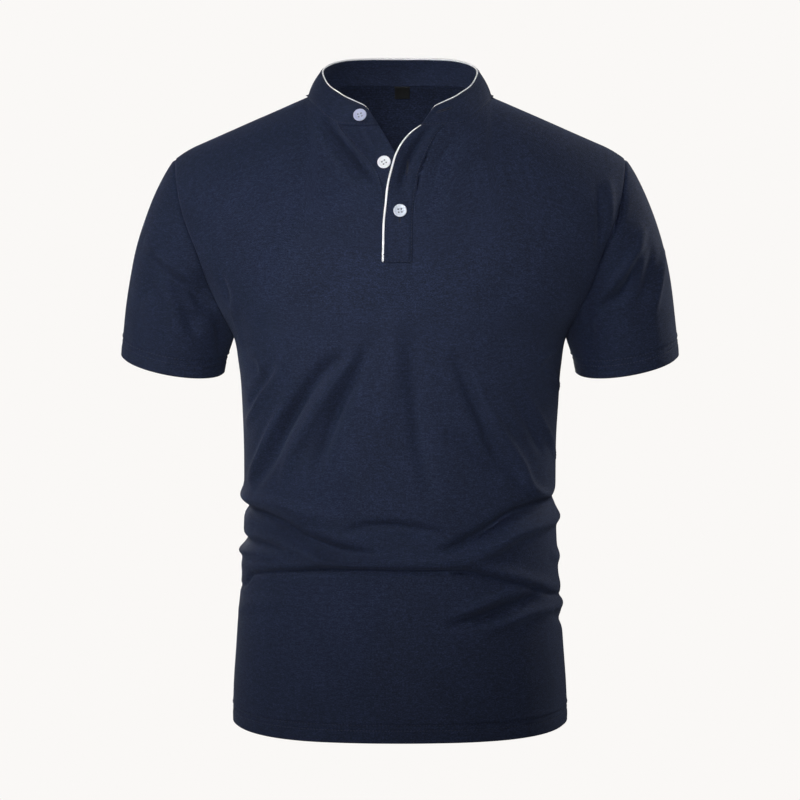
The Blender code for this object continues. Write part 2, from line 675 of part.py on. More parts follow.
def seat(points, side, height):
    """The place on a grid that is seen there from the front, and the way out of it."""
    rows = np.linspace(0.5, points.shape[0] - 1.5, 201)[:, None]
    places = np.linspace(0.5, points.shape[1] - 1.5, 401)[None, :]
    seen = spots(points, rows, places)
    away = np.hypot(seen[..., 0] - side, seen[..., 2] - height) + 1000 * (seen[..., 1] > 0)
    i, j = np.unravel_index(np.argmin(away), away.shape)
    row, place = rows[i, 0], places[0, j]
    up = spots(points, row + 0.5, place) - spots(points, row - 0.5, place)
    across = spots(points, row, place + 0.5) - spots(points, row, place - 0.5)
    way = unit(np.cross(across, up))
    return seen[i, j] + way * BUTTON_SEAT, way


def clear_scene():
    """Empty the file, and make the shirt's collection."""
    for obj in list(bpy.data.objects):
        bpy.data.objects.remove(obj)
    made = bpy.data.collections.new("polo_shirt")
    bpy.context.scene.collection.children.link(made)
    return made


def build():
    cloths = [Cloth(piece) for piece in sewn_pieces()]
    means, names = shared_ways(cloths)
    skins = {}
    for cloth in cloths:
        cloth.tailor(means, names)
        cloth.close()
        skins[cloth.piece.name] = cloth.skins()

    outer, inner = skins["collar_band"]
    edging("collar_piping", outer[-1], inner[-1], unit(outer[-1] - outer[-2]))
    outer, inner = skins["placket_over"]
    edging("placket_piping", outer[:, 0], inner[:, 0], unit(outer[:, 0] - outer[:, 1]))
    neck_label(*skins["back"])
    for row in BUTTONS:
        button(row.name, *seat(skins[row.piece][0], row.side, row.height), row.tilt)


SHIRT = clear_scene()
NAVY = material("navy_knit", (0.016, 0.022, 0.045), 0.85)
PALE = material("pale_tape", (0.80, 0.81, 0.84), 0.7)
BLACK = material("black_label", (0.006, 0.006, 0.007), 0.75)
RESIN = material("pale_resin", (0.62, 0.66, 0.74), 0.35)
build()
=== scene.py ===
# %% [markdown]
# # A knitted polo shirt with a band collar
# The shirt hangs hollow, in the shape it has when worn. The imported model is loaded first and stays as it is.
# Each cloth piece is then made again as a thin, soft shell on the same form, with its folds, seams and hems.

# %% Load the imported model
import json
import math
from collections import namedtuple

import bpy
import numpy as np
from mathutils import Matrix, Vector

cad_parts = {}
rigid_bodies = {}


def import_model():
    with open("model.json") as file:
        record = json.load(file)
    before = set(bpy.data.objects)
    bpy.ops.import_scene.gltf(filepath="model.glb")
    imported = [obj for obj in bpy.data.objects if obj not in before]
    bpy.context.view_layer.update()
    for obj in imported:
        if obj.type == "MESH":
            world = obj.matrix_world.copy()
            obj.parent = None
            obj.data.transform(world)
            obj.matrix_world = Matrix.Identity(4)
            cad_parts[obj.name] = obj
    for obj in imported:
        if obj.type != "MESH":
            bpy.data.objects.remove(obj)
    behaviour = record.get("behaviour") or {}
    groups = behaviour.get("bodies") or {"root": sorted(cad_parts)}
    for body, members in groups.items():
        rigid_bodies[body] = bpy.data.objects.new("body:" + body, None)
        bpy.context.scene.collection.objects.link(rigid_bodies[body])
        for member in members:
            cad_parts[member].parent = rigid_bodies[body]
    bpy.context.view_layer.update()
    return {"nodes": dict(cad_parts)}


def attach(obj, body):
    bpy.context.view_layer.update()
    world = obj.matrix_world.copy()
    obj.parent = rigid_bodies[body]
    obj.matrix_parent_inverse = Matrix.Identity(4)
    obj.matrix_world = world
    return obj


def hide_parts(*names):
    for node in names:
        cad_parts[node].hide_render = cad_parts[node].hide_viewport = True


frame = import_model()
print("packed nodes:", ", ".join(sorted(frame["nodes"])))

# %% [markdown]
# ## Units and small helpers
# A tailor works in millimetres and Blender in metres, so every size below is in millimetres and degrees, and MM
# turns it into metres at the moment a mesh is made. A table of measured rows is read along a smooth curve, the way
# a pattern cutter joins marks with a French curve, because straight steps between the rows would show as facets.

# %% Helpers for tables and directions
MM = 0.001


def column(table, name):
    """One named column of a table, as an array."""
    return np.array([getattr(row, name) for row in table], float)


def along_curve(xs, ys, at):
    """A cubic between each two marks, with the slope at a mark taken from its neighbours (Hermite's formula)."""
    slopes = np.gradient(ys, xs)
    at = np.clip(at, xs[0], xs[-1])
    i = np.clip(np.searchsorted(xs, at) - 1, 0, len(xs) - 2)
    step = xs[i + 1] - xs[i]
    t = (at - xs[i]) / step
    near = (1 + 2 * t) * (1 - t) ** 2 * ys[i] + t * (1 - t) ** 2 * step * slopes[i]
    far = t**2 * (3 - 2 * t) * ys[i + 1] + t**2 * (t - 1) * step * slopes[i + 1]
    return near + far


def smooth(table, name, at, by="height"):
    """The named column of a table at any place along another of its columns."""
    return along_curve(column(table, by), column(table, name), at)


def unit(vectors):
    """The same vectors at length 1: each is divided by its own length."""
    return vectors / np.maximum(np.linalg.norm(vectors, axis=-1, keepdims=True), 1e-9)


# %% [markdown]
# ## The worn form
# On a body a knitted shirt is nearly a flattened tube. Each level cut through it is a superellipse, wider than it is
# deep, and above the armpits the front and back round over to the shoulder seams. A sculpted mesh could show this
# too, but two formulas and one table keep the front and the back meeting exactly along their seams.

# %% Tables and formulas of the form
HEM, UNDERARM, SLOT_FOOT, STRIP_FOOT = -612, -228, -152, -157
HEM_RISE, RISE_TALL = 5, 90  # the hem is this much higher at the side seams, which fades out this far above it
NECK_HALF, SHOULDER_HALF, SHOULDER_SLOPE = 88.8, 219, 0.435
TIP_START, TIP_DROP, NECK_SWELL = 196, 4, 7
ROUNDING_START, SQUARENESS, ROUNDING = -150, 2.35, 2.2

Section = namedtuple("Section", "height half_width front back")
SECTIONS = (
    Section(-614, 164, 117, 100),
    Section(-560, 162, 115, 96),
    Section(-500, 158, 112, 88),
    Section(-450, 154, 108, 81),
    Section(-400, 152, 106, 78),
    Section(-350, 152, 108, 83),
    Section(-300, 154, 113, 92),
    Section(-260, 157, 117, 99),
    Section(-228, 163, 119, 103),
    Section(-200, 182, 118, 106),
    Section(-150, 211, 112, 107),
    Section(-118, 226, 104, 105),
    Section(-80, 235, 94, 101),
    Section(-40, 236, 86, 97),
    Section(12, 236, 80, 92),
)
Armhole = namedtuple("Armhole", "height front back")
ARMHOLE = (
    Armhole(-228, 163, 163),
    Armhole(-202, 175.5, 174),
    Armhole(-176, 187, 186),
    Armhole(-150, 195.5, 196),
    Armhole(-118, 208, 206),
    Armhole(-83, 216.5, 214.5),
    Armhole(-61, 219, 219),
)
Collar = namedtuple("Collar", "turn seam_height rim_out rim_back rim_height")
COLLAR = (
    Collar(0, 12, 0, 44, 37.5),
    Collar(22, 11.9, 30, 41.5, 37.2),
    Collar(40, 10.8, 52, 33, 35.8),
    Collar(55, 7, 64, 24.5, 33.4),
    Collar(70, 2.8, 72, 14.5, 30),
    Collar(90, 0, 76.3, 2, 24.5),
    Collar(105, -5, 74.2, -12, 18),
    Collar(116, -10.5, 70.4, -22, 12),
    Collar(125, -17.5, 65.3, -30, 7.2),
    Collar(132, -23, 60, -37, 3.7),
    Collar(140, -26.5, 54, -43, -0.2),
    Collar(152, -27.5, 44, -51, -5),
    Collar(167, -27.5, 30, -58, -11),
)
Opening = namedtuple("Opening", "height panel_right under_edge over_edge over_seam lift")
OPENING = (
    Opening(-157, -14.6, 11, -14.9, 11.7, 0),
    Opening(-140, -14.6, 11, -14.5, 12, 0),
    Opening(-118, -14.8, 11, -13.9, 12.2, 0.5),
    Opening(-100, -15.1, 11, -12, 13.5, 2),
    Opening(-85, -17.5, 8, -10.3, 15.2, 4),
    Opening(-68, -24.5, 1.5, -6.3, 19, 5),
    Opening(-54, -35.8, -5.4, -2, 24.8, 4.5),
    Opening(-42, -47, -12.2, 5, 31.5, 3),
    Opening(-34, -54.5, -17, 12.3, 36.5, 1.5),
    Opening(-27.5, -58.6, -21.4, 21.2, 43, 0),
)


def round_off(share, power):
    """A superellipse's height: (1 - share^power)^(1 / power), which is 1 in the middle and 0 at the rim."""
    return np.clip(1 - np.abs(share) ** power, 0, None) ** (1 / power)


def shoulder_line(x):
    """A straight fall from the neck point, a little steeper at the tip, and a swell over the neck opening."""
    turn_down = np.clip((np.abs(x) - TIP_START) / (SHOULDER_HALF - TIP_START), 0, None)
    swell = np.sin(math.pi * np.clip(1 - np.abs(x) / NECK_HALF, 0, 1))
    return -SHOULDER_SLOPE * (np.abs(x) - NECK_HALF) - TIP_DROP * turn_down**2 + NECK_SWELL * swell


def form(x, z, face):
    """Depth = reach x superellipse across x superellipse up to the shoulder line, for face -1 (front) or 1."""
    x, z = np.broadcast_arrays(np.asarray(x, float), np.asarray(z, float))
    reach = smooth(SECTIONS, "front" if face < 0 else "back", z)
    across = round_off(x / smooth(SECTIONS, "half_width", z), SQUARENESS)
    rise = np.clip((z - ROUNDING_START) / (shoulder_line(x) - ROUNDING_START), 0, 1)
    return np.stack([x, face * reach * across * round_off(rise, ROUNDING), z], axis=-1)


def at_turn(turn, z):
    """Points of the form at turns from the centre front to the wearer's left: x = half width x sin(turn)."""
    x = smooth(SECTIONS, "half_width", z) * np.sin(np.radians(turn))
    in_front = np.cos(np.radians(turn)) >= 0
    return np.where(in_front[..., None], form(x, z, -1), form(x, z, 1))


def outward(points):
    """The level way out of the form: the slope of the ellipse through the point."""
    x, y, z = np.moveaxis(points, -1, 0)
    half = smooth(SECTIONS, "half_width", z)
    reach = np.where(y < 0, smooth(SECTIONS, "front", z), smooth(SECTIONS, "back", z))
    return unit(np.stack([x / half**2, y / reach**2, np.zeros_like(x)], axis=-1))


def neck_seam(turn):
    """(x, z) of the seam under the band, at turns from the centre back: x = neck half width x sin(turn)."""
    turn = np.asarray(turn, float)
    return NECK_HALF * np.sin(np.radians(turn)), smooth(COLLAR, "seam_height", np.abs(turn), by="turn")


def turn_at(x):
    """The turn of the front neck seam at sideways places x."""
    return 180 - np.degrees(np.arcsin(np.abs(x) / NECK_HALF))


print("widest level cut of the body:", 2 * column(SECTIONS, "half_width").max(), "mm")

# %% [markdown]
# ## Folds
# A knit hangs from the chest and bunches above the hips, so there are three families of folds: long soft drag lines
# that fan down from the chest, deep level folds stacked at the waist, and short ones at the armpits and the neck.
# A cloth simulation would give folds of its own choosing. Here each fold is placed along a curve through listed
# marks on the form, and its cross-section is a bell curve, so that it can be as long, deep and sharp as the real one.

# %% Marks and depth of every fold
Fold = namedtuple("Fold", "rise width marks")
FOLDS = (  # marks are (turn from the centre front, height); rise is negative for a trough
    # drag lines from the chest
    Fold(3.9, 11, ((-1, -193), (-2, -235), (-3, -273), (-5, -307))),
    Fold(-5.4, 7.5, ((3, -226), (5, -280), (7, -330), (12, -384))),
    Fold(-8.6, 6.5, ((-9, -229), (-16, -264), (-22, -294), (-28, -330), (-32, -363))),
    Fold(7.2, 6.5, ((-15, -237), (-20, -259), (-29, -291), (-36, -318), (-43, -342), (-49, -374))),
    Fold(-11.0, 7, ((-16, -243), (-27, -258), (-38, -290), (-47, -319), (-56, -349), (-69, -378))),
    Fold(5.4, 5, ((-40, -278), (-53, -317), (-63, -345), (-76, -371))),
    Fold(4.7, 4.5, ((-44, -257), (-57, -284), (-67, -304), (-78, -317))),
    Fold(-4.7, 5, ((-48, -254), (-59, -276), (-71, -295))),
    Fold(3.5, 4, ((-67, -244), (-58, -251), (-58, -266), (-70, -277))),
    Fold(-7.1, 6, ((18, -240), (25, -276), (31, -307), (38, -342), (51, -370))),
    Fold(6.6, 5.5, ((24, -257), (30, -286), (37, -315), (49, -349), (57, -375), (75, -386), (100, -388))),
    Fold(-4.7, 7, ((15, -319), (24, -328), (33, -346), (41, -364))),
    Fold(4.7, 4, ((46, -272), (60, -306), (71, -329), (83, -353))),
    Fold(-3.9, 5, ((42, -281), (54, -315), (65, -345))),
    Fold(3.1, 3.5, ((56, -258), (62, -247), (74, -242))),
    Fold(2.8, 3.5, ((60, -260), (73, -270), (85, -283))),
    # short ones at the armholes, and two long faint ones across the chest
    Fold(-4.0, 4, ((54, -84), (57, -113), (63, -149))),
    Fold(3.1, 4, ((58, -76), (62, -111), (66, -143))),
    Fold(2.8, 5, ((-59, -194), (-67, -218), (-75, -243))),
    Fold(-2.8, 4, ((-58, -167), (-60, -184), (-63, -200))),
    Fold(-1.8, 10, ((-7, -170), (-30, -196), (-52, -214))),
    Fold(-1.6, 9, ((20, -178), (38, -206), (56, -222))),
    # stacked at the waist
    Fold(-11.8, 5.5, (
        (-106, -394), (-86, -398), (-62, -402), (-47, -410), (-36, -421), (-24, -430), (-15, -434), (-5, -438),
    )),
    Fold(6.2, 7, ((-100, -384), (-80, -386), (-50, -389), (-35, -397), (-23, -405))),
    Fold(6.5, 5, ((-67, -415), (-44, -428), (-30, -438), (-18, -443), (-2, -442))),
    Fold(-6.5, 5, ((-22, -415), (-12, -408), (0, -408), (11, -413), (19, -419))),
    Fold(-12.6, 6, ((106, -386), (74, -390), (49, -397), (36, -410), (25, -423), (13, -434))),
    Fold(8.3, 6.5, ((100, -405), (78, -407), (50, -415), (35, -430), (22, -440), (7, -444))),
    Fold(-6.1, 4.5, ((-102, -426), (-90, -429), (-59, -430), (-44, -433))),
    Fold(4.3, 4, ((-100, -439), (-90, -440), (-60, -439), (-44, -441))),
    Fold(-6.6, 2.7, (
        (-100, -478), (-76, -472), (-67, -459), (-44, -453), (-26, -449), (-10, -449), (6, -450), (23, -450),
        (34, -457), (45, -464), (74, -481), (100, -486),
    )),
    Fold(5.8, 7, (
        (-96, -455), (-66, -451), (-44, -446), (-26, -442), (-10, -443), (6, -443), (23, -444), (34, -450),
        (45, -457), (70, -471), (98, -474),
    )),
    Fold(-7.6, 5.5, ((59, -476), (48, -483), (37, -489), (26, -497), (16, -503))),
    Fold(5.0, 5.5, ((98, -491), (75, -491), (53, -493), (40, -501), (28, -509))),
    Fold(4.7, 5, ((54, -469), (40, -474), (29, -483), (19, -491))),
    Fold(2.6, 6, ((70, -440), (84, -446), (98, -440))),
    Fold(-2.9, 6, ((66, -496), (88, -508), (110, -502))),
    Fold(2.4, 8, ((-88, -500), (-60, -486), (-34, -480))),
    # hidden sides: softer and wider folds across the hollow of the back, most of which dip in the middle
    Fold(-7.0, 9.5, ((92, -398), (138, -428), (176, -441))),
    Fold(-6.0, 9, ((266, -402), (228, -424), (188, -453))),
    Fold(-8.0, 8.5, ((104, -455), (140, -462), (176, -469), (216, -464), (256, -452))),
    Fold(5.0, 9, ((108, -438), (150, -448), (178, -455), (214, -450), (248, -440))),
    Fold(4.4, 9, ((100, -412), (134, -414), (168, -424), (196, -432))),
    Fold(-4.0, 13, ((166, -250), (150, -318), (116, -386))),
    Fold(-4.0, 13, ((200, -262), (218, -330), (248, -390))),
    Fold(3.4, 11, ((182, -270), (176, -330), (160, -392))),
    Fold(2.8, 9, ((214, -256), (236, -318), (262, -366))),
    Fold(2.6, 9, ((146, -254), (126, -312), (98, -360))),
    Fold(-4.4, 9, ((114, -493), (150, -502), (208, -498))),
    Fold(3.2, 8, ((120, -480), (158, -486), (200, -482), (240, -470))),
    Fold(-3.2, 7, ((216, -486), (240, -490), (268, -478))),
    Fold(-2.2, 12, ((170, -120), (150, -172), (122, -210))),
    Fold(-2.0, 12, ((192, -130), (212, -182), (238, -214))),
)
NECK_FOLDS = (  # near the neck the marks are (x, z) on the front
    Fold(-10.5, 4.4, ((-72, -20), (-55, -42), (-42, -57), (-31, -71), (-19, -82))),
    Fold(3.0, 4.5, ((-82, -28), (-62, -56), (-40, -82))),
    Fold(1.8, 3.0, ((-58, -29), (-43, -47), (-29, -62))),
    Fold(-2.2, 6.0, ((56, -33), (44, -52), (33, -78), (24, -110))),
    Fold(1.8, 8.0, ((72, -36), (58, -64), (44, -98))),
)
FOLD_STEPS = 28
SLACK = 0.8  # the share of the slack waves that the panels take up


def fold_path(marks):
    """A smooth curve through the marks, as FOLD_STEPS + 1 pairs."""
    marks = np.array(marks, float)
    t = np.linspace(0, len(marks) - 1, FOLD_STEPS + 1)
    steps = np.arange(len(marks), dtype=float)
    return along_curve(steps, marks[:, 0], t), along_curve(steps, marks[:, 1], t)


def distance_to(path, points):
    """Distance of each point from a path of straight steps, and the share of the path at its nearest place."""
    nearest = np.full(points.shape[:-1], np.inf)
    share = np.zeros(points.shape[:-1])
    for i, (start, end) in enumerate(zip(path, path[1:])):
        step = end - start
        t = np.clip(((points - start) @ step) / (step @ step), 0, 1)
        away = np.linalg.norm(points - start - t[..., None] * step, axis=-1)
        share = np.where(away < nearest, (i + t) / (len(path) - 1), share)
        nearest = np.minimum(nearest, away)
    return nearest, share


def push(path, rise, width, points):
    """rise x bell(distance / width) x (4 share (1 - share))^0.8 along the path, so the fold dies away at its ends."""
    away, share = distance_to(path, points)
    return rise * np.exp(-((away / width) ** 2)) * np.clip(4 * share * (1 - share), 0, 1) ** 0.8


def slack(points):
    """Six long, faint waves across the cloth, up to about a millimetre: no hung knit is perfectly even."""
    draw = np.random.default_rng(7)
    total = np.zeros(points.shape[:-1])
    for length in (140, 104, 82, 66, 52, 41):
        way = unit(draw.normal(size=3) * [1, 0.7, 0.8])
        total += length / 420 * np.sin(points @ way * (2 * math.pi / length) + draw.uniform(0, 2 * math.pi))
    return total


def folded_in_front(folds, points):
    """How far folds with marks (x, z) on the front push a point out of the form."""
    return sum(push(form(*fold_path(fold.marks), -1), fold.rise, fold.width, points) for fold in folds)


def folded(points):
    """How far every fold and the slack push a point out of the form."""
    body = sum(push(at_turn(*fold_path(fold.marks)), fold.rise, fold.width, points) for fold in FOLDS)
    return SLACK * slack(points) + body + folded_in_front(NECK_FOLDS, points)


print("folds on the body:", len(FOLDS) + len(NECK_FOLDS))

# %% [markdown]
# ## Thin cloth
# Every panel is a sheet with a wall: an outer skin, an inner skin, and a rounded edge between them. Blender's
# Solidify could thicken the sheet, but it leaves square edges, and a folded knit edge is round. So the wall is worked
# out here: the inner skin lies one thickness in along the way out of the outer one, and a ring of points pushed
# halfway beyond the edge rounds it. Each piece keeps its place on the flat cut as a UV map in metres, so the knit's
# columns follow the cloth and not the room.


def quads_of(index):
    """The four-sided cells between neighbouring points of a grid of point numbers."""
    return np.stack([index[:-1, :-1], index[:-1, 1:], index[1:, 1:], index[1:, :-1]], axis=-1).reshape(-1, 4)


def closed_grid(rows, around):
    """Point numbers of rings of points, and the same with the first column again at the end, which closes them."""
    number = np.arange(rows * around).reshape(rows, around)
    return number, np.concatenate([number, number[:, :1]], axis=1)


def fan(pole, ring, back=False):
    """Triangles from a pole to a ring of points, in the ring's order, or in the other one if they face back."""
    pair = ring, np.roll(ring, -1)
    return np.stack([np.full(len(ring), pole), *(pair[::-1] if back else pair)], axis=1)


def ways_out(points, quads):
    """At each point, the mean of its cells' ways out: a cell's is the cross product of its diagonals."""
    corners = points[quads]
    across = np.cross(corners[:, 2] - corners[:, 0], corners[:, 3] - corners[:, 1])
    ways = np.zeros_like(points)
    for i in range(4):
        np.add.at(ways, quads[:, i], across)
    return unit(ways)


def add_piece(name, points, faces, surface, uv=None):
    """A mesh object in the scene, from points in millimetres and lists of faces."""
    mesh = bpy.data.meshes.new(name)
    mesh.from_pydata((points * MM).tolist(), [], [face for group in faces for face in group.tolist()])
    if uv is not None:
        corner = np.empty(len(mesh.loops), np.int32)
        mesh.loops.foreach_get("vertex_index", corner)
        layer = mesh.uv_layers.new(name="cut")
        layer.data.foreach_set("uv", (uv[corner] * MM).astype(np.float32).ravel())
    mesh.materials.append(surface)
    mesh.shade_smooth()
    piece = bpy.data.objects.new(name, mesh)
    bpy.context.scene.collection.objects.link(piece)
    return piece


def border(index):
    """The point numbers round a grid, with the cloth on their left."""
    return np.concatenate([index[0, :-1], index[:-1, -1], index[-1, :0:-1], index[:0:-1, 0]])


def cloth(name, points, quads, loops, wall, uv, surface, edge=0.4):
    """An outer skin through the points, an inner one a wall further in, and a round edge along each loop."""
    ways = ways_out(points, quads)
    wall = np.broadcast_to(np.asarray(wall, float), len(points))
    inner = points - ways * wall[:, None]
    count = len(points)
    all_points, faces, maps = [points, inner], [quads, quads[:, ::-1] + count], [uv, uv]
    start = 2 * count
    for loop in loops:
        tangent = unit(points[np.roll(loop, -1)] - points[np.roll(loop, 1)])
        beyond = unit(np.cross(tangent, ways[loop]))
        all_points.append((points[loop] + inner[loop]) / 2 + beyond * wall[loop, None] * edge)
        maps.append(uv[loop])
        ring = start + np.arange(len(loop))
        ring_next, loop_next = np.roll(ring, -1), np.roll(loop, -1)
        faces.append(np.stack([loop_next, loop, ring, ring_next], axis=1))
        faces.append(np.stack([ring_next, ring, loop + count, loop_next + count], axis=1))
        start += len(loop)
    piece = add_piece(name, np.concatenate(all_points), faces, surface, np.concatenate(maps))
    a, b, c, d = points[quads].swapaxes(0, 1)
    area = 0.5 * np.linalg.norm(np.cross(c - a, d - b), axis=1).sum()
    print(f"{name}: {len(points)} points a skin, {area * MM * MM:.4f} square metres of cloth")
    return piece, ways


def arc(points, axis):
    """Distance walked along a grid's rows (axis 1) or columns (axis 0) to each point."""
    steps = np.linalg.norm(np.diff(points, axis=axis), axis=-1)
    lead = [(0, 0)] * 2
    lead[axis] = (1, 0)
    return np.pad(np.cumsum(steps, axis=axis), lead)


def walk(path):
    """Distance walked along one line of points to each of them."""
    return np.concatenate([[0], np.cumsum(np.linalg.norm(np.diff(path, axis=0), axis=1))])


def grid_cloth(name, points, cut, wall, surface):
    """A piece of cloth from one open grid, and the ways out of it as a grid."""
    index = np.arange(points[..., 0].size).reshape(points.shape[:2])
    wall = np.broadcast_to(wall, index.shape).reshape(-1)
    flat, flat_cut = points.reshape(-1, 3), cut.reshape(-1, 2)
    piece, ways = cloth(name, flat, quads_of(index), [border(index)], wall, flat_cut, surface)
    return piece, ways.reshape(points.shape)


def facing_out(points, cut, ways):
    """The same three grids, mirrored from side to side if their cells would face into the shirt."""
    across_way, up_way = points[5, 6] - points[5, 5], points[6, 5] - points[5, 5]
    turn_round = np.dot(np.cross(across_way, up_way), ways[5, 5]) < 0
    return [grid[:, ::-1] if turn_round else grid for grid in (points, cut, ways)]


# %% [markdown]
# ## Colours and the knit
# The cloth is a fine cotton-blend jersey, piece-dyed navy and worn matt. Close up it is columns of small loops; from
# a few steps away it reads as a soft, slightly mottled dark blue with a bluish bloom where fibres catch the light.
# The real loops are about 0.7 mm, too fine to show, so the pattern below is drawn at 1.5 mm. A sheen layer gives the
# bloom, and three noises, the finer two stretched along the courses, give the uneven take-up of dye.

# %% Colour and node helpers
def linear(code):
    """A hex sRGB colour as linear RGBA: each channel c becomes ((c + 0.055) / 1.055)^2.4, or c / 12.92 when dark."""
    values = [int(code[i : i + 2], 16) / 255 for i in (1, 3, 5)]
    return (*(v / 12.92 if v <= 0.04045 else ((v + 0.055) / 1.055) ** 2.4 for v in values), 1)


def node(tree, kind, links=None, **settings):
    """Add a node, set its fields, and link or set its inputs: links is {input: socket or value}."""
    added = tree.nodes.new(kind)
    for name, value in settings.items():
        setattr(added, name, value)
    for name, value in (links or {}).items():
        if isinstance(value, bpy.types.NodeSocket):
            tree.links.new(value, added.inputs[name])
        else:
            added.inputs[name].default_value = value
    return added


def new_surface(name):
    """A material with an empty Principled shader, its node tree and that shader."""
    surface = bpy.data.materials.new(name)
    surface.use_nodes = True
    return surface, surface.node_tree, surface.node_tree.nodes["Principled BSDF"]


def maths(tree, operation, *values):
    """The result of one Math node, from sockets or numbers."""
    return node(tree, "ShaderNodeMath", dict(enumerate(values)), operation=operation).outputs[0]


def noise(tree, place, size, detail, **inputs):
    """Noise with blobs of about so many millimetres."""
    links = {"Vector": place, "Scale": 1 / (size * MM), "Detail": detail, **inputs}
    return node(tree, "ShaderNodeTexNoise", links).outputs[0]


def stripes(tree, place, step, bend, way):
    """Stripes so many millimetres apart: at scale 1, Blender's waves are 2 pi / 20 of a metre apart."""
    links = {"Vector": place, "Scale": 2 * math.pi / (step * MM) / 20, "Distortion": bend}
    return node(tree, "ShaderNodeTexWave", links, bands_direction=way).outputs["Fac"]


def blend(tree, share, low, high):
    """One colour shading into another by a share; each is a hex code or a socket."""
    low, high = (linear(colour) if isinstance(colour, str) else colour for colour in (low, high))
    return node(tree, "ShaderNodeMix", {0: share, 6: low, 7: high}, data_type="RGBA").outputs[2]


def woven(shader, colour, height, strength, deep, rough):
    """Plug in the colour and a relief so many millimetres deep, and set the roughness."""
    tree = shader.id_data
    tree.links.new(colour, shader.inputs["Base Color"])
    bump = node(tree, "ShaderNodeBump", {"Strength": strength, "Distance": deep * MM, "Height": height})
    tree.links.new(bump.outputs[0], shader.inputs["Normal"])
    shader.inputs["Roughness"].default_value = rough


# %% The knit
LOOP_WIDE, LOOP_TALL = 1.5, 1.25  # millimetres between columns and rows of loops, as drawn


def jersey(name, dark, mid, light):
    """Loops = |sin| of the columns x sin of the rows, over three noises that mottle the dye."""
    surface, tree, shader = new_surface(name)
    place = node(tree, "ShaderNodeUVMap", uv_map="cut").outputs["UV"]
    parts = node(tree, "ShaderNodeSeparateXYZ", {0: place}).outputs

    def wave(value, length):
        return maths(tree, "SINE", maths(tree, "MULTIPLY", value, 2 * math.pi / (length * MM)))

    lean = maths(tree, "ABSOLUTE", wave(parts[0], 2 * LOOP_WIDE))
    rise = maths(tree, "MULTIPLY_ADD", lean, 0.9 * LOOP_TALL * MM, parts[1])
    loops = maths(tree, "MULTIPLY", wave(rise, LOOP_TALL), lean)

    flat = node(tree, "ShaderNodeMapping", {"Vector": place, "Scale": (1, 2.2, 1)}).outputs[0]
    soft = noise(tree, place, 34, 2.0, Roughness=0.6)
    mottle = noise(tree, flat, 6, 3.0, Roughness=0.7)
    grain = noise(tree, flat, 1.9, 1.0, Roughness=0.7)
    for part, weight in ((soft, 0.3), (grain, 1.3), (loops, 0.16)):
        mottle = maths(tree, "MULTIPLY_ADD", part, weight, mottle)
    spread = node(tree, "ShaderNodeMapRange", {0: mottle, 1: 0.75, 2: 1.85, 3: 0.0, 4: 1.0}).outputs[0]
    ramp = node(tree, "ShaderNodeValToRGB", {0: spread})
    stops = ramp.color_ramp.elements
    stops[0].position, stops[0].color = 0.0, linear(dark)
    stops[1].position, stops[1].color = 1.0, linear(light)
    stops.new(0.5).color = linear(mid)
    woven(shader, ramp.outputs[0], maths(tree, "MULTIPLY_ADD", loops, 0.5, grain), 0.55, 0.35, 0.86)
    shader.inputs["Specular IOR Level"].default_value = 0.2
    shader.inputs["Sheen Weight"].default_value = 0.12
    shader.inputs["Sheen Roughness"].default_value = 0.45
    shader.inputs["Sheen Tint"].default_value = linear("#8C9CC8")
    return surface


navy_jersey = jersey("navy_jersey", "#10141E", "#1B2338", "#2E3856")
print("knit drawn with", LOOP_WIDE, "mm columns and", LOOP_TALL, "mm rows")

# %% [markdown]
# ## Front and back
# A tailor cuts two body panels. Each half is a grid whose four edges are the centre line (or the front's slit), the
# hem, the side seam with the armhole above it, and the neck with the shoulder seam. A Coons patch fills it: it blends
# the two pairs of edges and takes away what was counted twice, so all four edges are met exactly. Near a seam the
# cloth turns in by about a millimetre, because the seam pulls it down, and that valley is what the eye reads as sewn.

# %% Half a panel
CLOTH_WALL, HEM_WALL, HEM_DEEP = 1.5, 2.5, 17  # millimetres
TUCK, TUCK_WIDE = 1.5, 1.7  # how deep and how wide a seam's valley is
NECK_FADE = 7  # the shoulder seam's valley dies away this near the neck
STITCH_ROWS = (16.3, 11.2)  # two rows of stitches run this far above a hem's edge
HEM_SWELL, HEM_RIDGE, HEM_PUCKER, PUCKER_LONG = 0.3, 0.6, 0.18, 7.3
NECK_SHARE, NECK_STEPS, SHOULDER_STEPS = 0.48, 40, 42
ARM_ROWS, SHOULDER_ROWS = 22, 46
NEAR_SEAM = np.array([3.4, 2.3, 1.3, 0.6, 0.0]) / 300  # extra columns this share of the width from the side seam

# heights of the rows above the hem's edge
hem_rows = [0, 0.8, 2.2, 4.5, 7, 9, 10.2, 11.2, 12.2, 13.6, 15.2, 16.3, 17.4, 18.7, 20.2]
skirt_rows = np.linspace(23, 106, 28)
waist_rows = np.linspace(107.6, 242, 84)  # closest where the folds are sharpest
chest_rows = np.linspace(245, UNDERARM - HEM, 47)
low_rows = np.concatenate([hem_rows, skirt_rows, waist_rows, chest_rows]) + HEM
shoulder_part = np.linspace(NECK_SHARE, 1 - NEAR_SEAM[0] * 1.3, SHOULDER_STEPS)[1:]
across = np.concatenate([np.linspace(0, NECK_SHARE, NECK_STEPS + 1), shoulder_part, 1 - NEAR_SEAM])
neck_columns = NECK_STEPS + 1
foot_share = (SLOT_FOOT - UNDERARM) / (COLLAR[-1].seam_height - UNDERARM)
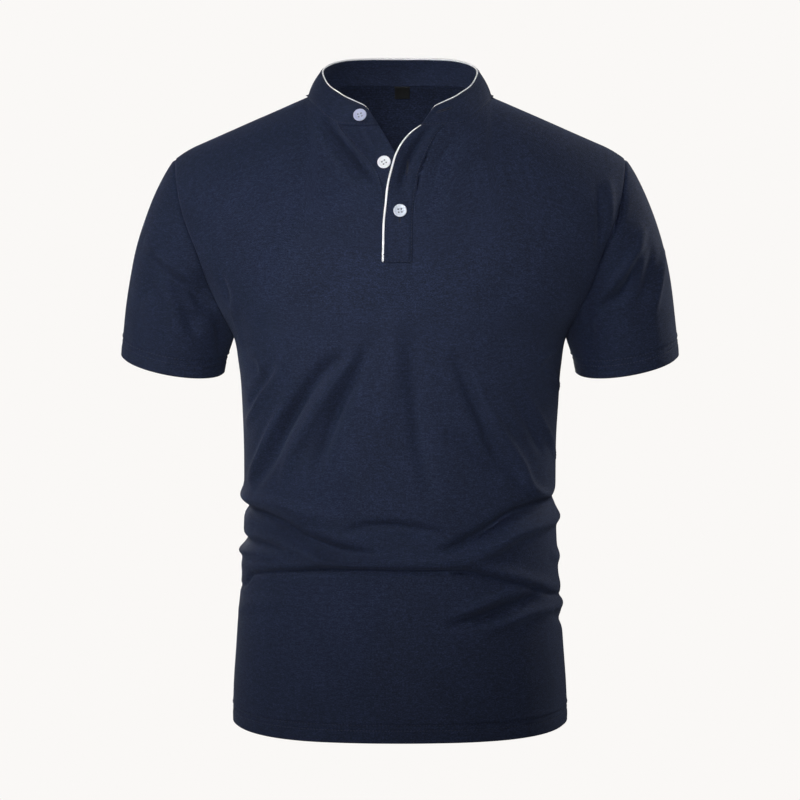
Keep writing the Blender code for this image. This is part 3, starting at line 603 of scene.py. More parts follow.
# away from the neck, rows crowd towards the shoulder seam
closing = 1.15 + 1.05 * np.clip((across - 0.8 * NECK_SHARE) / (0.3 * NECK_SHARE), 0, 1)
climb = np.concatenate([
    np.linspace(0, foot_share, ARM_ROWS + 1)[1:, None] * np.ones_like(across),
    foot_share + (1 - foot_share) * (1 - (1 - np.linspace(0, 1, SHOULDER_ROWS + 1)[1:, None]) ** closing),
])
underarm_row, foot_row = len(low_rows) - 1, len(low_rows) + ARM_ROWS - 1
print("a half panel has", len(low_rows) + len(climb), "rows and", len(across), "columns")


def slot_edge(z, side):
    """Sideways place of the front's cut edge on the wearer's left (side 1) or right (side -1)."""
    return smooth(OPENING, "panel_right", z) if side < 0 else smooth(OPENING, "over_seam", z) - 3


def hem_relief(up, along):
    """A turned-up hem swells a little, is drawn in along its two rows of stitches, and puckers between them."""
    drawn = sum(depth * np.exp(-(((up - row) / 0.9) ** 2)) for row, depth in zip(STITCH_ROWS, (0.9, 0.45)))
    above = HEM_RIDGE * np.exp(-(((up - STITCH_ROWS[0] - 2.4) / 1.5) ** 2))
    ripple = np.sin(2 * math.pi * along / PUCKER_LONG + 2 * np.sin(along / 23))
    pucker = HEM_PUCKER * np.exp(-(((up - STITCH_ROWS[0]) / 5) ** 2)) * ripple
    return HEM_SWELL * np.exp(-(((up - 7) / 5) ** 2)) + above - drawn + pucker


def half_panel(face, side):
    """Coons patch = blend of hem and top edge + blend of centre and side edge - blend of the four corners."""
    swing = np.sin(across * math.pi / 2)
    low = low_rows[:, None]
    low_z = low + HEM_RISE * swing**6 * np.clip(1 - (low - HEM) / RISE_TALL, 0, 1)
    low_x = smooth(SECTIONS, "half_width", low_z) * swing

    first = float(turn_at(slot_edge(COLLAR[-1].seam_height, side))) if face < 0 else 0.0
    neck_turns = 90 + (first - 90) * (1 - across[:neck_columns] / NECK_SHARE) ** 1.25
    neck_x, neck_z = neck_seam(neck_turns)
    outer = (across[neck_columns:] - NECK_SHARE) / (1 - NECK_SHARE)
    shoulder_x = NECK_HALF + (SHOULDER_HALF - NECK_HALF) * outer
    top_x, top_z = np.concatenate([neck_x, shoulder_x]), np.concatenate([neck_z, shoulder_line(shoulder_x)])

    centre_z = UNDERARM + (top_z[0] - UNDERARM) * climb
    open_rows = (np.arange(len(climb))[:, None] >= ARM_ROWS) & (face < 0)
    centre_x = np.where(open_rows, side * slot_edge(centre_z, side), 0)
    arm_z = UNDERARM + (top_z[-1] - UNDERARM) * climb
    arm_x = smooth(ARMHOLE, "front" if face < 0 else "back", arm_z)

    def patch(bottom, top, centre, arm):
        corners = (1 - climb) * ((1 - across) * bottom[0] + across * bottom[-1])
        corners = corners + climb * ((1 - across) * top[0] + across * top[-1])
        return (1 - climb) * bottom + climb * top + (1 - across) * centre + across * arm - corners

    x = side * np.concatenate([low_x, patch(low_x[-1], top_x, centre_x, arm_x)])
    z = np.concatenate([low_z, patch(low_z[-1], top_z, centre_z, arm_z)])
    base = form(x, z, face)
    ways = outward(base)
    points = base + ways * folded(base)[..., None]

    to_side = arc(points[:, ::-1], 1)[:, ::-1]
    to_top = arc(points[::-1], 0)[::-1]
    valley = np.exp(-((to_side / TUCK_WIDE) ** 2))[..., None] * ways
    past_neck = arc(points, 1)
    past_neck = np.clip(past_neck - past_neck[:, neck_columns - 1 : neck_columns], 0, None)
    over = np.exp(-((to_top / TUCK_WIDE) ** 2)) * (1 - np.exp(-((past_neck / NECK_FADE) ** 2)))
    over = over * (1 - np.exp(-((to_side / TUCK_WIDE) ** 2)))
    points = points - TUCK * (valley + over[..., None] * unit(np.array([SHOULDER_SLOPE * side, 0, 1])))

    up = np.concatenate([low_rows - HEM, UNDERARM - HEM + arc(points[underarm_row:], 0)[1:, -1]])[:, None]
    points = points + ways * hem_relief(up, arc(points, 1))[..., None]
    cut = np.stack([side * (arc(points, 1) + np.abs(x[:, :1])), up + 0 * x], axis=-1)
    return points, cut


halves = {(face, side): half_panel(face, side) for face in (-1, 1) for side in (-1, 1)}


# %% Front and back as cloth
def panel_wall(up):
    """The wall is thicker where the hem is turned up, and eases to the single knit just above it."""
    return CLOTH_WALL + (HEM_WALL - CLOTH_WALL) * np.clip((HEM_DEEP + 0.6 - up) / 0.8, 0, 1)


rows, half = len(low_rows) + len(climb), len(across)
right_points, right_cut = (part[:, ::-1] for part in halves[-1, -1])
front_points = np.concatenate([right_points, halves[-1, 1][0]], axis=1)
front_cut = np.concatenate([right_cut, halves[-1, 1][1]], axis=1)
number = np.arange(rows * 2 * half).reshape(rows, 2 * half)
number[: foot_row + 1, half] = number[: foot_row + 1, half - 1]  # below the slit the two halves are one
cells = np.concatenate([quads_of(number[:, :half]), quads_of(number[:, half:])])
edge_loop = np.concatenate([
    number[0, : half - 1], number[0, half:-1], number[:-1, -1], number[-1, -1:half:-1],
    number[-1:foot_row:-1, half], number[foot_row:-1, half - 1], number[-1, half - 1 : 0 : -1], number[-1:0:-1, 0],
])
used, compact = np.unique(cells, return_inverse=True)
renumber = np.zeros(number.size, int)
renumber[used] = np.arange(len(used))
front_up = front_cut[..., 1].reshape(-1)[used]
front, _ = cloth(
    "front_cloth", front_points.reshape(-1, 3)[used], compact.reshape(-1, 4), [renumber[edge_loop]],
    panel_wall(front_up), front_cut.reshape(-1, 2)[used], navy_jersey,
)

back_points = np.concatenate([halves[1, 1][0][:, ::-1], halves[1, -1][0][:, 1:]], axis=1)
back_cut = np.concatenate([halves[1, 1][1][:, ::-1], halves[1, -1][1][:, 1:]], axis=1)
back, _ = grid_cloth("back_cloth", back_points, back_cut, panel_wall(back_cut[..., 1]), navy_jersey)
for piece, name in ((front, "front"), (back, "back")):
    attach(piece, "root")
    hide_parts(name)

# %% [markdown]
# ## Sleeves
# A set-in sleeve starts at the armhole seam and falls to an oval cuff. Each of its ribs is a cubic curve: it leaves
# the seam along the slope of the shoulder or the armpit, and runs into the cuff along the arm. That gives the round
# cap and the short, flared hang that a straight tube would miss. Its first ring is the body panels' own tucked edge,
# so the seam is closed.

# %% The two sleeves
CUFF_CENTRE, CUFF_WIDE, CUFF_DEEP = (221.8, 6, -258), 51.2, 52
CUFF_ROLL, CUFF_PITCH, CUFF_WAY = 10, 10, (0.11, 0, -0.99)  # the cuff's tilts, and the way the cloth runs into it
CROWN_LONG = 28  # below its seam the sleeve stands out over this length
TIP_FALL, PIT_FALL, SLEEVE_SPREAD = 52, 74, 0.12
SleeveFold = namedtuple("SleeveFold", "side rise width marks")
SLEEVE_FOLDS = (  # marks are (turn from the underarm past the front, share of the length from the seam)
    SleeveFold(-1, 6.1, 6.5, ((154, 0.37), (108, 0.27), (82, 0.18), (63, 0.10))),
    SleeveFold(-1, -7.4, 6, ((137, 0.38), (101, 0.33), (78, 0.24), (60, 0.18), (44, 0.10))),
    SleeveFold(-1, 4.9, 6.5, ((121, 0.44), (90, 0.42), (63, 0.37))),
    SleeveFold(-1, -5.4, 6.5, ((98, 0.38), (78, 0.44), (63, 0.59))),
    SleeveFold(-1, -6.1, 7, ((50, 0.05), (32, 0.18), (21, 0.57))),
    SleeveFold(-1, 3.0, 8, ((130, 0.61), (115, 0.70), (108, 0.85))),
    SleeveFold(1, 6.8, 5.5, ((144, 0.25), (118, 0.27), (78, 0.25), (50, 0.14))),
    SleeveFold(1, -8.1, 5.5, ((124, 0.29), (98, 0.37), (78, 0.35), (58, 0.31))),
    SleeveFold(1, 4.9, 5, ((90, 0.35), (68, 0.38), (52, 0.46))),
    SleeveFold(1, -4.1, 6, ((47, 0.10), (44, 0.38), (44, 0.65))),
    SleeveFold(1, 4.3, 4.5, ((171, 0.46), (144, 0.55), (124, 0.68))),
    SleeveFold(1, -3.5, 6, ((147, 0.37), (127, 0.46), (105, 0.57))),
    SleeveFold(1, 4.1, 5, ((147, 0.05), (118, 0.05), (90, 0.05))),
    SleeveFold(-1, -3.0, 10, ((236, 0.36), (268, 0.54), (304, 0.74))),
    SleeveFold(-1, 2.4, 10, ((246, 0.22), (280, 0.42), (312, 0.56))),
    SleeveFold(1, -3.0, 10, ((244, 0.32), (276, 0.50), (310, 0.68))),
    SleeveFold(1, 2.6, 9, ((240, 0.50), (272, 0.68), (304, 0.86))),
)


def spots(points, row, place):
    """Points between the rows and columns of a grid, by straight blends of the four nearest."""
    row, place = np.broadcast_arrays(np.asarray(row, float), np.asarray(place, float))
    r = np.clip(row.astype(int), 0, points.shape[0] - 2)
    c = np.clip(place.astype(int), 0, points.shape[1] - 2)
    u, v = (row - r)[..., None], (place - c)[..., None]
    low = (1 - v) * points[r, c] + v * points[r, c + 1]
    high = (1 - v) * points[r + 1, c] + v * points[r + 1, c + 1]
    return (1 - u) * low + u * high


def sleeve(side):
    """Rib = (1-t)^3 seam + 3t(1-t)^2 first handle + 3t^2(1-t) second handle + t^3 cuff, for each place round."""
    front_edge = halves[-1, side][0][underarm_row:, -1]
    back_edge = halves[1, side][0][underarm_row:, -1]
    seam = np.concatenate([front_edge, back_edge[-2::-1]])
    walked = walk(seam)
    tip = walked[len(front_edge) - 1]
    turn = np.where(walked <= tip, 180 * walked / tip, 180 + 180 * (walked - tip) / (walked[-1] - tip))
    angle = np.radians(turn)[:, None]

    roll, pitch = math.radians(CUFF_ROLL), math.radians(CUFF_PITCH)
    mirror = np.array([side, 1, 1])
    wide = np.array([math.cos(roll), 0, math.sin(roll)]) * mirror
    deep = np.array([0, -math.cos(pitch), -math.sin(pitch)])
    cuff = np.array(CUFF_CENTRE) * mirror - CUFF_WIDE * np.cos(angle) * wide + CUFF_DEEP * np.sin(angle) * deep

    fall = np.radians(PIT_FALL + (TIP_FALL - PIT_FALL) * (1 - np.cos(angle)) / 2)
    leave = np.concatenate([side * np.cos(fall), -SLEEVE_SPREAD * np.sin(angle), -np.sin(fall)], axis=1)
    reach = np.linalg.norm(cuff - seam, axis=1, keepdims=True) / 3
    first, second = seam + reach * unit(leave), cuff - reach * unit(np.array(CUFF_WAY) * mirror)
    share = np.concatenate([[0, 0.004, 0.010, 0.018, 0.030], np.linspace(0.048, 0.89, 46), np.linspace(0.90, 1, 12)])
    t = share[:, None, None]
    points = (1 - t) ** 3 * seam + 3 * t * (1 - t) ** 2 * first + 3 * t**2 * (1 - t) * second + t**3 * cuff

    _, index = closed_grid(points.shape[0], points.shape[1] - 1)
    ways = ways_out(points[:, :-1].reshape(-1, 3), quads_of(index)).reshape(points.shape[0], -1, 3)
    ways = np.concatenate([ways, ways[:, :1]], axis=1)
    from_middle = points - points.mean(axis=1, keepdims=True)
    ways = ways * np.sign(np.sum(from_middle * ways, axis=-1).mean())

    total = SLACK * slack(points)
    for fold in SLEEVE_FOLDS:
        if fold.side == side:
            round_turn, length = fold_path(fold.marks)
            row = np.interp(length, share, np.arange(len(share)))
            place = np.interp(round_turn, turn, np.arange(len(turn)))
            total += push(spots(points, row, place), fold.rise, fold.width, points)
    walked_down = arc(points, 0)
    up = walked_down[-1:] - walked_down
    total = total * np.sin(np.pi * np.clip(share, 0, 1))[:, None] ** 0.7
    total += TUCK * np.exp(-((walked_down / CROWN_LONG) ** 2)) * (1 - np.exp(-((walked_down / TUCK_WIDE) ** 2)))
    round_seam = arc(points, 1)
    total += hem_relief(up, round_seam)
    points = points + ways * total[..., None]
    return points[::-1], np.stack([round_seam, up], axis=-1)[::-1], ways[::-1]


sleeves = {}
for side, name in ((1, "sleeve_left"), (-1, "sleeve_right")):
    points, cut, ways = facing_out(*sleeve(side))
    number, index = closed_grid(points.shape[0], points.shape[1] - 1)
    flat_cut = cut[:, :-1].reshape(-1, 2)
    sleeves[side] = points, ways, cut
    piece, _ = cloth(
        name + "_cloth", points[:, :-1].reshape(-1, 3), quads_of(index), [number[0], number[-1, ::-1]],
        panel_wall(flat_cut[:, 1]), flat_cut, navy_jersey,
    )
    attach(piece, "root")
    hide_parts(name)

# %% [markdown]
# ## Placket strips
# The opening is bound with two strips. The outer one lies on the wearer's left edge and swings away from the chest
# towards the neck, and the inner one carries a button and sits under the wearer's right edge. Both are flat bands on
# the form, moved out or in by their own thickness, with a share across that runs from the free edge to the seam.

# %% The two strips
STRIP_WALL, OVER_LIFT, UNDER_DROP = 1.4, 2.0, 1.8  # the strips lie this far out of the form and into it
BOX_TOP, BOX_FOOT, BOX_WIDE = 7.7, 1.0, 10  # the box of stitches that holds the outer strip's foot
Dip = namedtuple("Dip", "deep wide")  # how far a line of stitches draws the strip in, and over what width
SEAM_DIP, FOOT_DIP, BOX_DIP = Dip(1.7, 2.2), Dip(0.9, 1.8), Dip(0.8, 0.9)
STRIP_FOLDS = {  # marks are (x, z), on the outer strip (1) and on the inner one (-1)
    1: (
        Fold(-6.0, 4.6, ((33, -26), (20, -43), (10, -59), (4, -76), (2, -92))),
        Fold(2.2, 5.0, ((36, -40), (25, -56), (17, -74), (13, -92))),
        Fold(-1.1, 1.8, ((-3, -101), (3, -101.5), (12, -100))),
        Fold(-0.8, 5.0, ((-6, -128), (0, -135), (6, -146))),
    ),
    -1: (
        Fold(-1.6, 2.6, ((-39, -29), (-35, -38), (-29, -48))),
        Fold(1.5, 2.6, ((-34, -29), (-31, -38), (-26, -47))),
        Fold(-1.2, 3.0, ((-47, -30), (-42, -42), (-36, -54))),
        Fold(-0.9, 3.0, ((-27, -48), (-22, -56), (-15, -72))),
    ),
}


def strip(side):
    """Points on the form between the free edge and the seam; the outer strip is lifted by lift x (1 - share)^1.5."""
    share = np.concatenate([[0, 0.02, 0.06], np.linspace(0.12, 0.9, 16), [0.95, 0.98, 1.0]])
    lap = side * 3 * np.clip((share - 0.8) / 0.2, 0, 1)
    foot_rows = [0, 0.6, 1.6, 3, 4.6, 5.8, 6.8, BOX_TOP, 8.6, 9.6, 10.8]
    rows = np.concatenate([foot_rows, np.linspace(12.5, COLLAR[-1].seam_height - STRIP_FOOT, 58)]) + STRIP_FOOT
    rows = rows[:, None]
    free = smooth(OPENING, "over_edge" if side > 0 else "under_edge", rows)
    x = free + (slot_edge(rows, side) - free) * share + lap
    rise = neck_seam(turn_at(x[-1]))[1] - COLLAR[-1].seam_height
    z = rows + rise * np.clip((rows - UNDERARM) / (COLLAR[-1].seam_height - UNDERARM), 0, 1)
    base = form(x, z, -1)
    ways = outward(base)
    total = SLACK * slack(base) + folded_in_front(NECK_FOLDS + STRIP_FOLDS[side], base)
    near_seam = np.exp(-((arc(base[:, ::-1], 1)[:, ::-1] / SEAM_DIP.wide) ** 2))
    near_foot = np.exp(-((arc(base, 0) / FOOT_DIP.wide) ** 2))
    near_box = np.exp(-(((arc(base, 0) - BOX_TOP) / BOX_DIP.wide) ** 2)) * (arc(base, 1) < BOX_WIDE)
    across_dips = FOOT_DIP.deep * near_foot + BOX_DIP.deep * near_box
    lifted = OVER_LIFT - SEAM_DIP.deep * near_seam - across_dips * (1 - near_seam)
    total += lifted if side > 0 else -UNDER_DROP
    points = base + ways * total[..., None]
    if side > 0:
        points[..., 1] -= 1.25 * smooth(OPENING, "lift", rows) * (1 - share) ** 1.5
    else:
        points = points[:, ::-1]
    return points, np.stack([arc(points, 1), arc(points, 0)], axis=-1)


strips = {}
for side, name in ((1, "placket_over"), (-1, "placket_under")):
    points, cut = strip(side)
    piece, ways = grid_cloth(name + "_cloth", points, cut, STRIP_WALL, navy_jersey)
    strips[side] = points, ways
    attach(piece, "root")
    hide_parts(name)

# %% [markdown]
# ## Collar band
# Instead of a folded leaf, this shirt has a low standing band, two layers thick, higher at the back and with rounded
# front corners. It is a blend from the neck seam to the rim, with a slight swell between them. The lower edge laps
# just over the body panels, as a sewn band does.

# %% The band
BAND_WALL, BAND_BULGE, CORNER = 2.2, 1.6, 5.0
ends = float(turn_at(21.2)), -float(turn_at(21.4))
turns = np.linspace(ends[0], ends[1], 201)
size = np.abs(turns)
x, z = neck_seam(turns)
seam = np.where(size[:, None] <= 90, form(x, z, 1), form(x, z, -1))
level = unit(seam * np.array([1, 1, 0]))
seam = seam + outward(seam) * folded(seam)[:, None]
rim = np.stack([smooth(COLLAR, name, size, by="turn") for name in ("rim_out", "rim_back", "rim_height")], axis=-1)
rim[:, 0] *= np.sign(turns)
walked = arc(rim[None], 1)[0]
from_end = np.minimum(walked, walked[-1] - walked)
drop = CORNER * (1 - np.sqrt(1 - np.clip(1 - from_end / CORNER, 0, 1) ** 2))
rim = rim - drop[:, None] * unit(rim - seam)
share = np.concatenate([[0, 0.02, 0.045], np.linspace(0.08, 0.92, 13), [0.96, 1.0]])[:, None, None]
band = (1 - share) * seam + share * rim
swell = np.sin(math.pi * share)
band = band + level * (BAND_BULGE * swell + 0.5 * slack(band)[..., None] * swell)
cut = np.stack([arc(band, 1), arc(band, 0)], axis=-1)
band, cut, _ = facing_out(band, cut, np.broadcast_to(level, band.shape))
collar, band_ways = grid_cloth("collar_band_cloth", band, cut, BAND_WALL, navy_jersey)
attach(collar, "root")
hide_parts("collar_band")

# %% [markdown]
# ## White piping
# A narrow folded tape edges the band's rim and the outer strip. It is a flat tube: an oval carried along the edge,
# one half-width beyond it, with both ends closed to a point.

# %% Tape along an edge
TAPE_WIDE, TAPE_THICK = 2.1, 1.5
TAPE_GAP, TAPE_STEP = 0.1, 0.8  # from the cloth's edge, and between rings of points


def pale_tape_surface():
    """Woven polyester tape: off-white, faintly ribbed across at 0.8 mm, drawn at 1.2 mm so that it shows."""
    surface, tree, shader = new_surface("woven_white_tape")
    place = node(tree, "ShaderNodeUVMap", uv_map="cut").outputs["UV"]
    shade = blend(tree, noise(tree, place, 14, 3.0), "#F1F2F5", "#FFFFFF")
    woven(shader, shade, stripes(tree, place, 1.2, 0.4, "X"), 0.5, 0.15, 0.6)
    return surface


woven_white_tape = pale_tape_surface()


def tube(name, path, wide_way, thick_way, half_wide, half_thick, surface, around=14, round_ends=1.6):
    """An oval (cos, sin) carried along a path; each end shrinks as a quarter circle and closes at one point."""
    walked = walk(path)
    to_end = np.minimum(walked, walked[-1] - walked)
    shrink = np.sqrt(np.clip(1 - np.clip(1 - to_end / round_ends, 0, 1) ** 2, 0.0, 1))[1:-1, None, None]
    angle = np.linspace(0, 2 * math.pi, around, endpoint=False)[None, :, None]
    across = half_wide * np.cos(angle) * wide_way[1:-1, None]
    rings = path[1:-1, None] + shrink * (across + half_thick * np.sin(angle) * thick_way[1:-1, None])
    number, index = closed_grid(*rings.shape[:2])
    points = np.concatenate([rings.reshape(-1, 3), path[:1], path[-1:]])
    quads = quads_of(index)
    caps = [fan(number.size, number[0], back=True), fan(number.size + 1, number[-1])]
    a, b, c = points[quads[0, 0]], points[quads[0, 1]], points[quads[0, 3]]
    if np.dot(np.cross(b - a, c - a), a - path[1]) < 0:
        quads, caps = quads[:, ::-1], [cap[:, ::-1] for cap in caps]
    ring_walk = walked[1:-1, None] * np.ones(around)
    ring_turn = np.linspace(0, 4 * (half_wide + half_thick), around)[None, :] * np.ones((len(path) - 2, 1))
    uv = np.concatenate([np.stack([ring_walk, ring_turn], axis=-1).reshape(-1, 2), [[0, 0], [walked[-1], 0]]])
    return add_piece(name, points, [quads, *caps], surface, uv)


def even(path, step, *others):
    """The path and its companions again, at even steps along it."""
    walked = walk(path)
    at = np.linspace(0, walked[-1], max(3, int(walked[-1] / step) + 1))
    return [np.stack([np.interp(at, walked, line[:, i]) for i in range(3)], axis=1) for line in (path, *others)]


def tape(name, outer_edge, beyond, ways, wall, replaces):
    """A tape one half-width beyond an edge, in the middle of the wall."""
    middle = outer_edge + beyond * (TAPE_WIDE / 2 + TAPE_GAP) - ways * wall / 2
    path, beyond, ways = even(middle, TAPE_STEP, beyond, ways)
    piece = tube(name, path, unit(beyond), unit(ways), TAPE_WIDE / 2, TAPE_THICK / 2, woven_white_tape)
    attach(piece, "root")
    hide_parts(replaces)
    return piece


tape("collar_tape", band[-1], unit(band[-1] - band[-3]), band_ways[-1], BAND_WALL, "collar_piping")
over, over_ways = strips[1]  # its first column is the free edge and its last one the seam
tape("placket_tape", over[:, 0], unit(over[:, 0] - over[:, 3]), over_ways[:, 0], STRIP_WALL, "placket_piping")
print("tape is", TAPE_WIDE, "mm wide")

# %% [markdown]
# ## Stitches
# The thread is a spun navy polyester, coloured a shade darker than the knit: its own navy with painted shade of the
# stitched grooves, so a row of it shows as a faint dotted line. A dashed texture would lie flat; here each stitch is a
# small capsule with its ends sunk in the cloth. All of them share one shape of twenty points, which arrays turn and
# carry to even places along a line on the finished cloth.

# %% Thread
STITCH_LONG, STITCH_PITCH, THREAD = 2.3, 3.0, 0.26  # a stitch's length, the step to the next, and half its thickness


def spun_thread(name, dark, light):
    """Spun polyester: matt, two shades twisted together. The twist is 0.4 mm and is drawn at 0.8 mm."""
    surface, tree, shader = new_surface(name)
    place = node(tree, "ShaderNodeTexCoord").outputs["Object"]
    twist = stripes(tree, place, 0.8, 2.0, "DIAGONAL")
    woven(shader, blend(tree, twist, dark, light), twist, 0.4, 0.1, 0.7)
    return surface


# navy thread: its own navy, darkened as painted shade of the grooves that the stitches draw in
navy_thread_with_painted_shade = spun_thread("navy_spun_thread_painted_shade", "#101626", "#1E2740")
pale_thread = spun_thread("pale_spun_thread", "#A9B0C2", "#DFE3EC")
black_thread = spun_thread("black_spun_thread", "#101114", "#26282E")


# %% Capsules in a row
def capsules(name, place, along, out, long, thick, surface):
    """Rings (cos, sin) at three places along each stitch, closed by two poles, bowed out by 1 - (2 x share)^2."""
    turn = np.linspace(0, 2 * math.pi, 6, endpoint=False)
    share = np.repeat([-0.42, 0.0, 0.42], 6)
    ring = np.stack([share, np.tile(np.cos(turn), 3), np.tile(np.sin(turn), 3)], axis=1)
    ring[:, 1:] *= np.where(share == 0, 1, 0.75)[:, None]
    base = np.concatenate([ring, [[-0.5, 0, 0], [0.5, 0, 0]]])
    base[:, 2] += 1.2 * (1 - 4 * base[:, 0] ** 2) - 0.7
    side = unit(np.cross(out, along))
    points = place[:, None] + long * base[:, :1] * along[:, None]
    points = points + thick * (base[:, 1:2] * side[:, None] + base[:, 2:] * out[:, None])

    number, index = closed_grid(3, 6)
    quads = quads_of(index)[:, ::-1]
    caps = np.concatenate([fan(18, number[0], back=True), fan(19, number[2])])
    shift = len(base) * np.arange(len(place))[:, None, None]
    faces = [(quads + shift).reshape(-1, 4), (caps + shift).reshape(-1, 3)]
    piece = add_piece(name, points.reshape(-1, 3), faces, surface)
    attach(piece, "root")
    print(f"{name}: {len(place)} stitches")
    return piece


def stitched(name, lines, surface=navy_thread_with_painted_shade):
    """One capsule at every even place along each line, which is a pair of points and ways out of the cloth."""
    rows = [even(line, STITCH_PITCH, out) for line, out in lines]
    place = np.concatenate([line for line, _ in rows])
    along = unit(np.concatenate([np.gradient(line, axis=0) for line, _ in rows]))
    out = unit(np.concatenate([way for _, way in rows]))
    return capsules(name, place, along, out, STITCH_LONG, THREAD, surface)


def line_at(grid, measure, height):
    """The line across a grid where a measure that grows along its rows reaches a height."""
    above = np.clip((measure < height).sum(axis=0), 1, len(measure) - 1)
    column = np.arange(grid.shape[1])
    low, high = measure[above - 1, column], measure[above, column]
    share = np.clip((height - low) / (high - low), 0, 1)[:, None]
    return (1 - share) * grid[above - 1, column] + share * grid[above, column]


def line_beside(grid, ways, inset, last=False):
    """The line that runs a given way in from a grid's first column, or from its last one."""
    if last:
        grid, ways = grid[:, ::-1], ways[:, ::-1]
    measure = arc(grid, 1).T
    return line_at(grid.swapaxes(0, 1), measure, inset), line_at(ways.swapaxes(0, 1), measure, inset)


# %% Every row of stitches
hems = ("hem_stitches_front", front_points, front_cut), ("hem_stitches_back", back_points, back_cut)
for name, points, cut in hems:
    lines = [line_at(points, cut[..., 1], height) for height in STITCH_ROWS]
    stitched(name, [(line, outward(line)) for line in lines])
for side, name in ((1, "cuff_stitches_left"), (-1, "cuff_stitches_right")):
    points, ways, cut = sleeves[side]
    stitched(name, [[line_at(grid, cut[..., 1], height) for grid in (points, ways)] for height in STITCH_ROWS])

# rows of stitches run this far from the outer strip's edge and seam, from the slit and from the band's edges
EDGE_INSET, SEAM_INSET, SLIT_INSET, BAND_INSET = 1.5, 1.3, 1.4, 1.6
walked_up = arc(over, 0)
box = line_at(over, walked_up, BOX_TOP), line_at(over_ways, walked_up, BOX_TOP)
in_box = box[0][:, 0] < over[0, 0, 0] + BOX_WIDE
stitched("placket_stitches", [
    line_beside(over, over_ways, EDGE_INSET),
    line_beside(over, over_ways, SEAM_INSET, last=True),
    (line_at(over, walked_up, BOX_FOOT), line_at(over_ways, walked_up, BOX_FOOT)),
    (box[0][in_box], box[1][in_box]),
])
panel = halves[-1, -1][0][foot_row + 2 :]
stitched("slit_stitches", [line_beside(panel, outward(panel), SLIT_INSET)])
from_seam, from_rim = (band, band_ways), (band[::-1], band_ways[::-1])
stitched("band_stitches", [
    [line_at(grid, arc(pair[0], 0), BAND_INSET) for grid in pair] for pair in (from_seam, from_rim)
])

# %% [markdown]
# ## Buttonholes and buttons
# A buttonhole is a cut slit, overcast on both sides with close satin stitches and barred at its ends. The buttons are
# turned from pearly polyester resin: a raised rim, a sunk face and four holes. Cutting the holes with a boolean would
# leave a ragged mesh, so one polar grid makes each button, and the holes are pressed into it by a smooth step.

# %% A place on the cloth
def lie_on(points, x, z, reach=9):
    """A quadratic y = f(x, z) fitted to the cloth round a place; it gives points and ways out at offsets from it."""
    near = points.reshape(-1, 3)
    near = near[np.hypot(near[:, 0] - x, near[:, 2] - z) < reach]

    def terms(u, w):
        return np.stack([np.ones_like(u), u, w, u * u, u * w, w * w], axis=-1)

    fit = np.linalg.lstsq(terms(near[:, 0] - x, near[:, 2] - z), near[:, 1], rcond=None)[0]

    def at(u, w):
        u, w = np.broadcast_arrays(np.asarray(u, float), np.asarray(w, float))
        slopes = fit[1] + 2 * fit[3] * u + fit[4] * w, fit[2] + fit[4] * u + 2 * fit[5] * w
        way = unit(np.stack([slopes[0], -np.ones_like(u), slopes[1]], axis=-1))
        return np.stack([x + u, terms(u, w) @ fit, z + w], axis=-1), way

    return at


# %% Buttonholes
SLIT, SATIN_LONG, SATIN_STEP, SATIN_THICK = 13, 1.3, 0.42, 0.2
Buttonhole = namedtuple("Buttonhole", "name points x z turn")


def buttonhole(row):
    """Satin stitches lie across the slit on both sides of it, and three more bar each end; a black capsule along the
    slit is its painted shadow.
    """
    at = lie_on(row.points, row.x, row.z)
    c, s = math.cos(math.radians(row.turn)), math.sin(math.radians(row.turn))
    run = np.arange(-SLIT / 2, SLIT / 2, SATIN_STEP)
    bar = np.array([0.3, 0.75, 1.2])
    along = np.concatenate([run, run, SLIT / 2 + bar, -SLIT / 2 - bar])
    beside = np.concatenate([np.full(len(run), 0.8), np.full(len(run), -0.8), np.zeros(6)])
    place, out = at(c * along - s * beside, s * along + c * beside)
    across_way = unit(np.cross(out, np.array([c, 0, s])))
    long = SATIN_LONG * np.where(np.arange(len(along)) < 2 * len(run), 1, 1.8)
    capsules(row.name + "_satin", place, across_way * long[:, None], out, 1, SATIN_THICK, navy_thread_with_painted_shade)
    middle, out = at(np.zeros(1), np.zeros(1))
    slit_way = unit(np.cross(np.cross(out, np.array([c, 0, s])), out))
    # painted shadow: a black capsule stands in for the dark gap of the cut slit
    capsules(row.name + "_slit_painted_shadow", middle + 0.1 * out, slit_way, out, SLIT, 0.3, black_thread)


for row in (
    Buttonhole("buttonhole_collar", band, 41.5, -13.5, 20),
    Buttonhole("buttonhole_middle", over, 7.1, -68.2, 84),
    Buttonhole("buttonhole_lower", over, -0.3, -112.4, 90),
):
    buttonhole(row)

# %% Buttons
BUTTON_SEAT, BUTTON_AROUND = 0.35, 128  # height above the cloth, and points in a ring
HOLE_PITCH, HOLE_RADIUS, HOLE_DEEP = 1.45, 0.78, 1.1
BUTTON_MARKS = np.array([  # (radius, height) from the middle of the face, over the rim, to the middle of the back
    (0.0, 1.30), (1.2, 1.30), (2.4, 1.31), (3.4, 1.34), (4.1, 1.46), (4.7, 1.78), (5.2, 2.0), (5.7, 1.98), (6.1, 1.72),
    (6.33, 1.3), (6.28, 0.85), (6.0, 0.4), (5.3, 0.08), (4.2, 0.0), (2.0, 0.0), (0.0, 0.0),
])


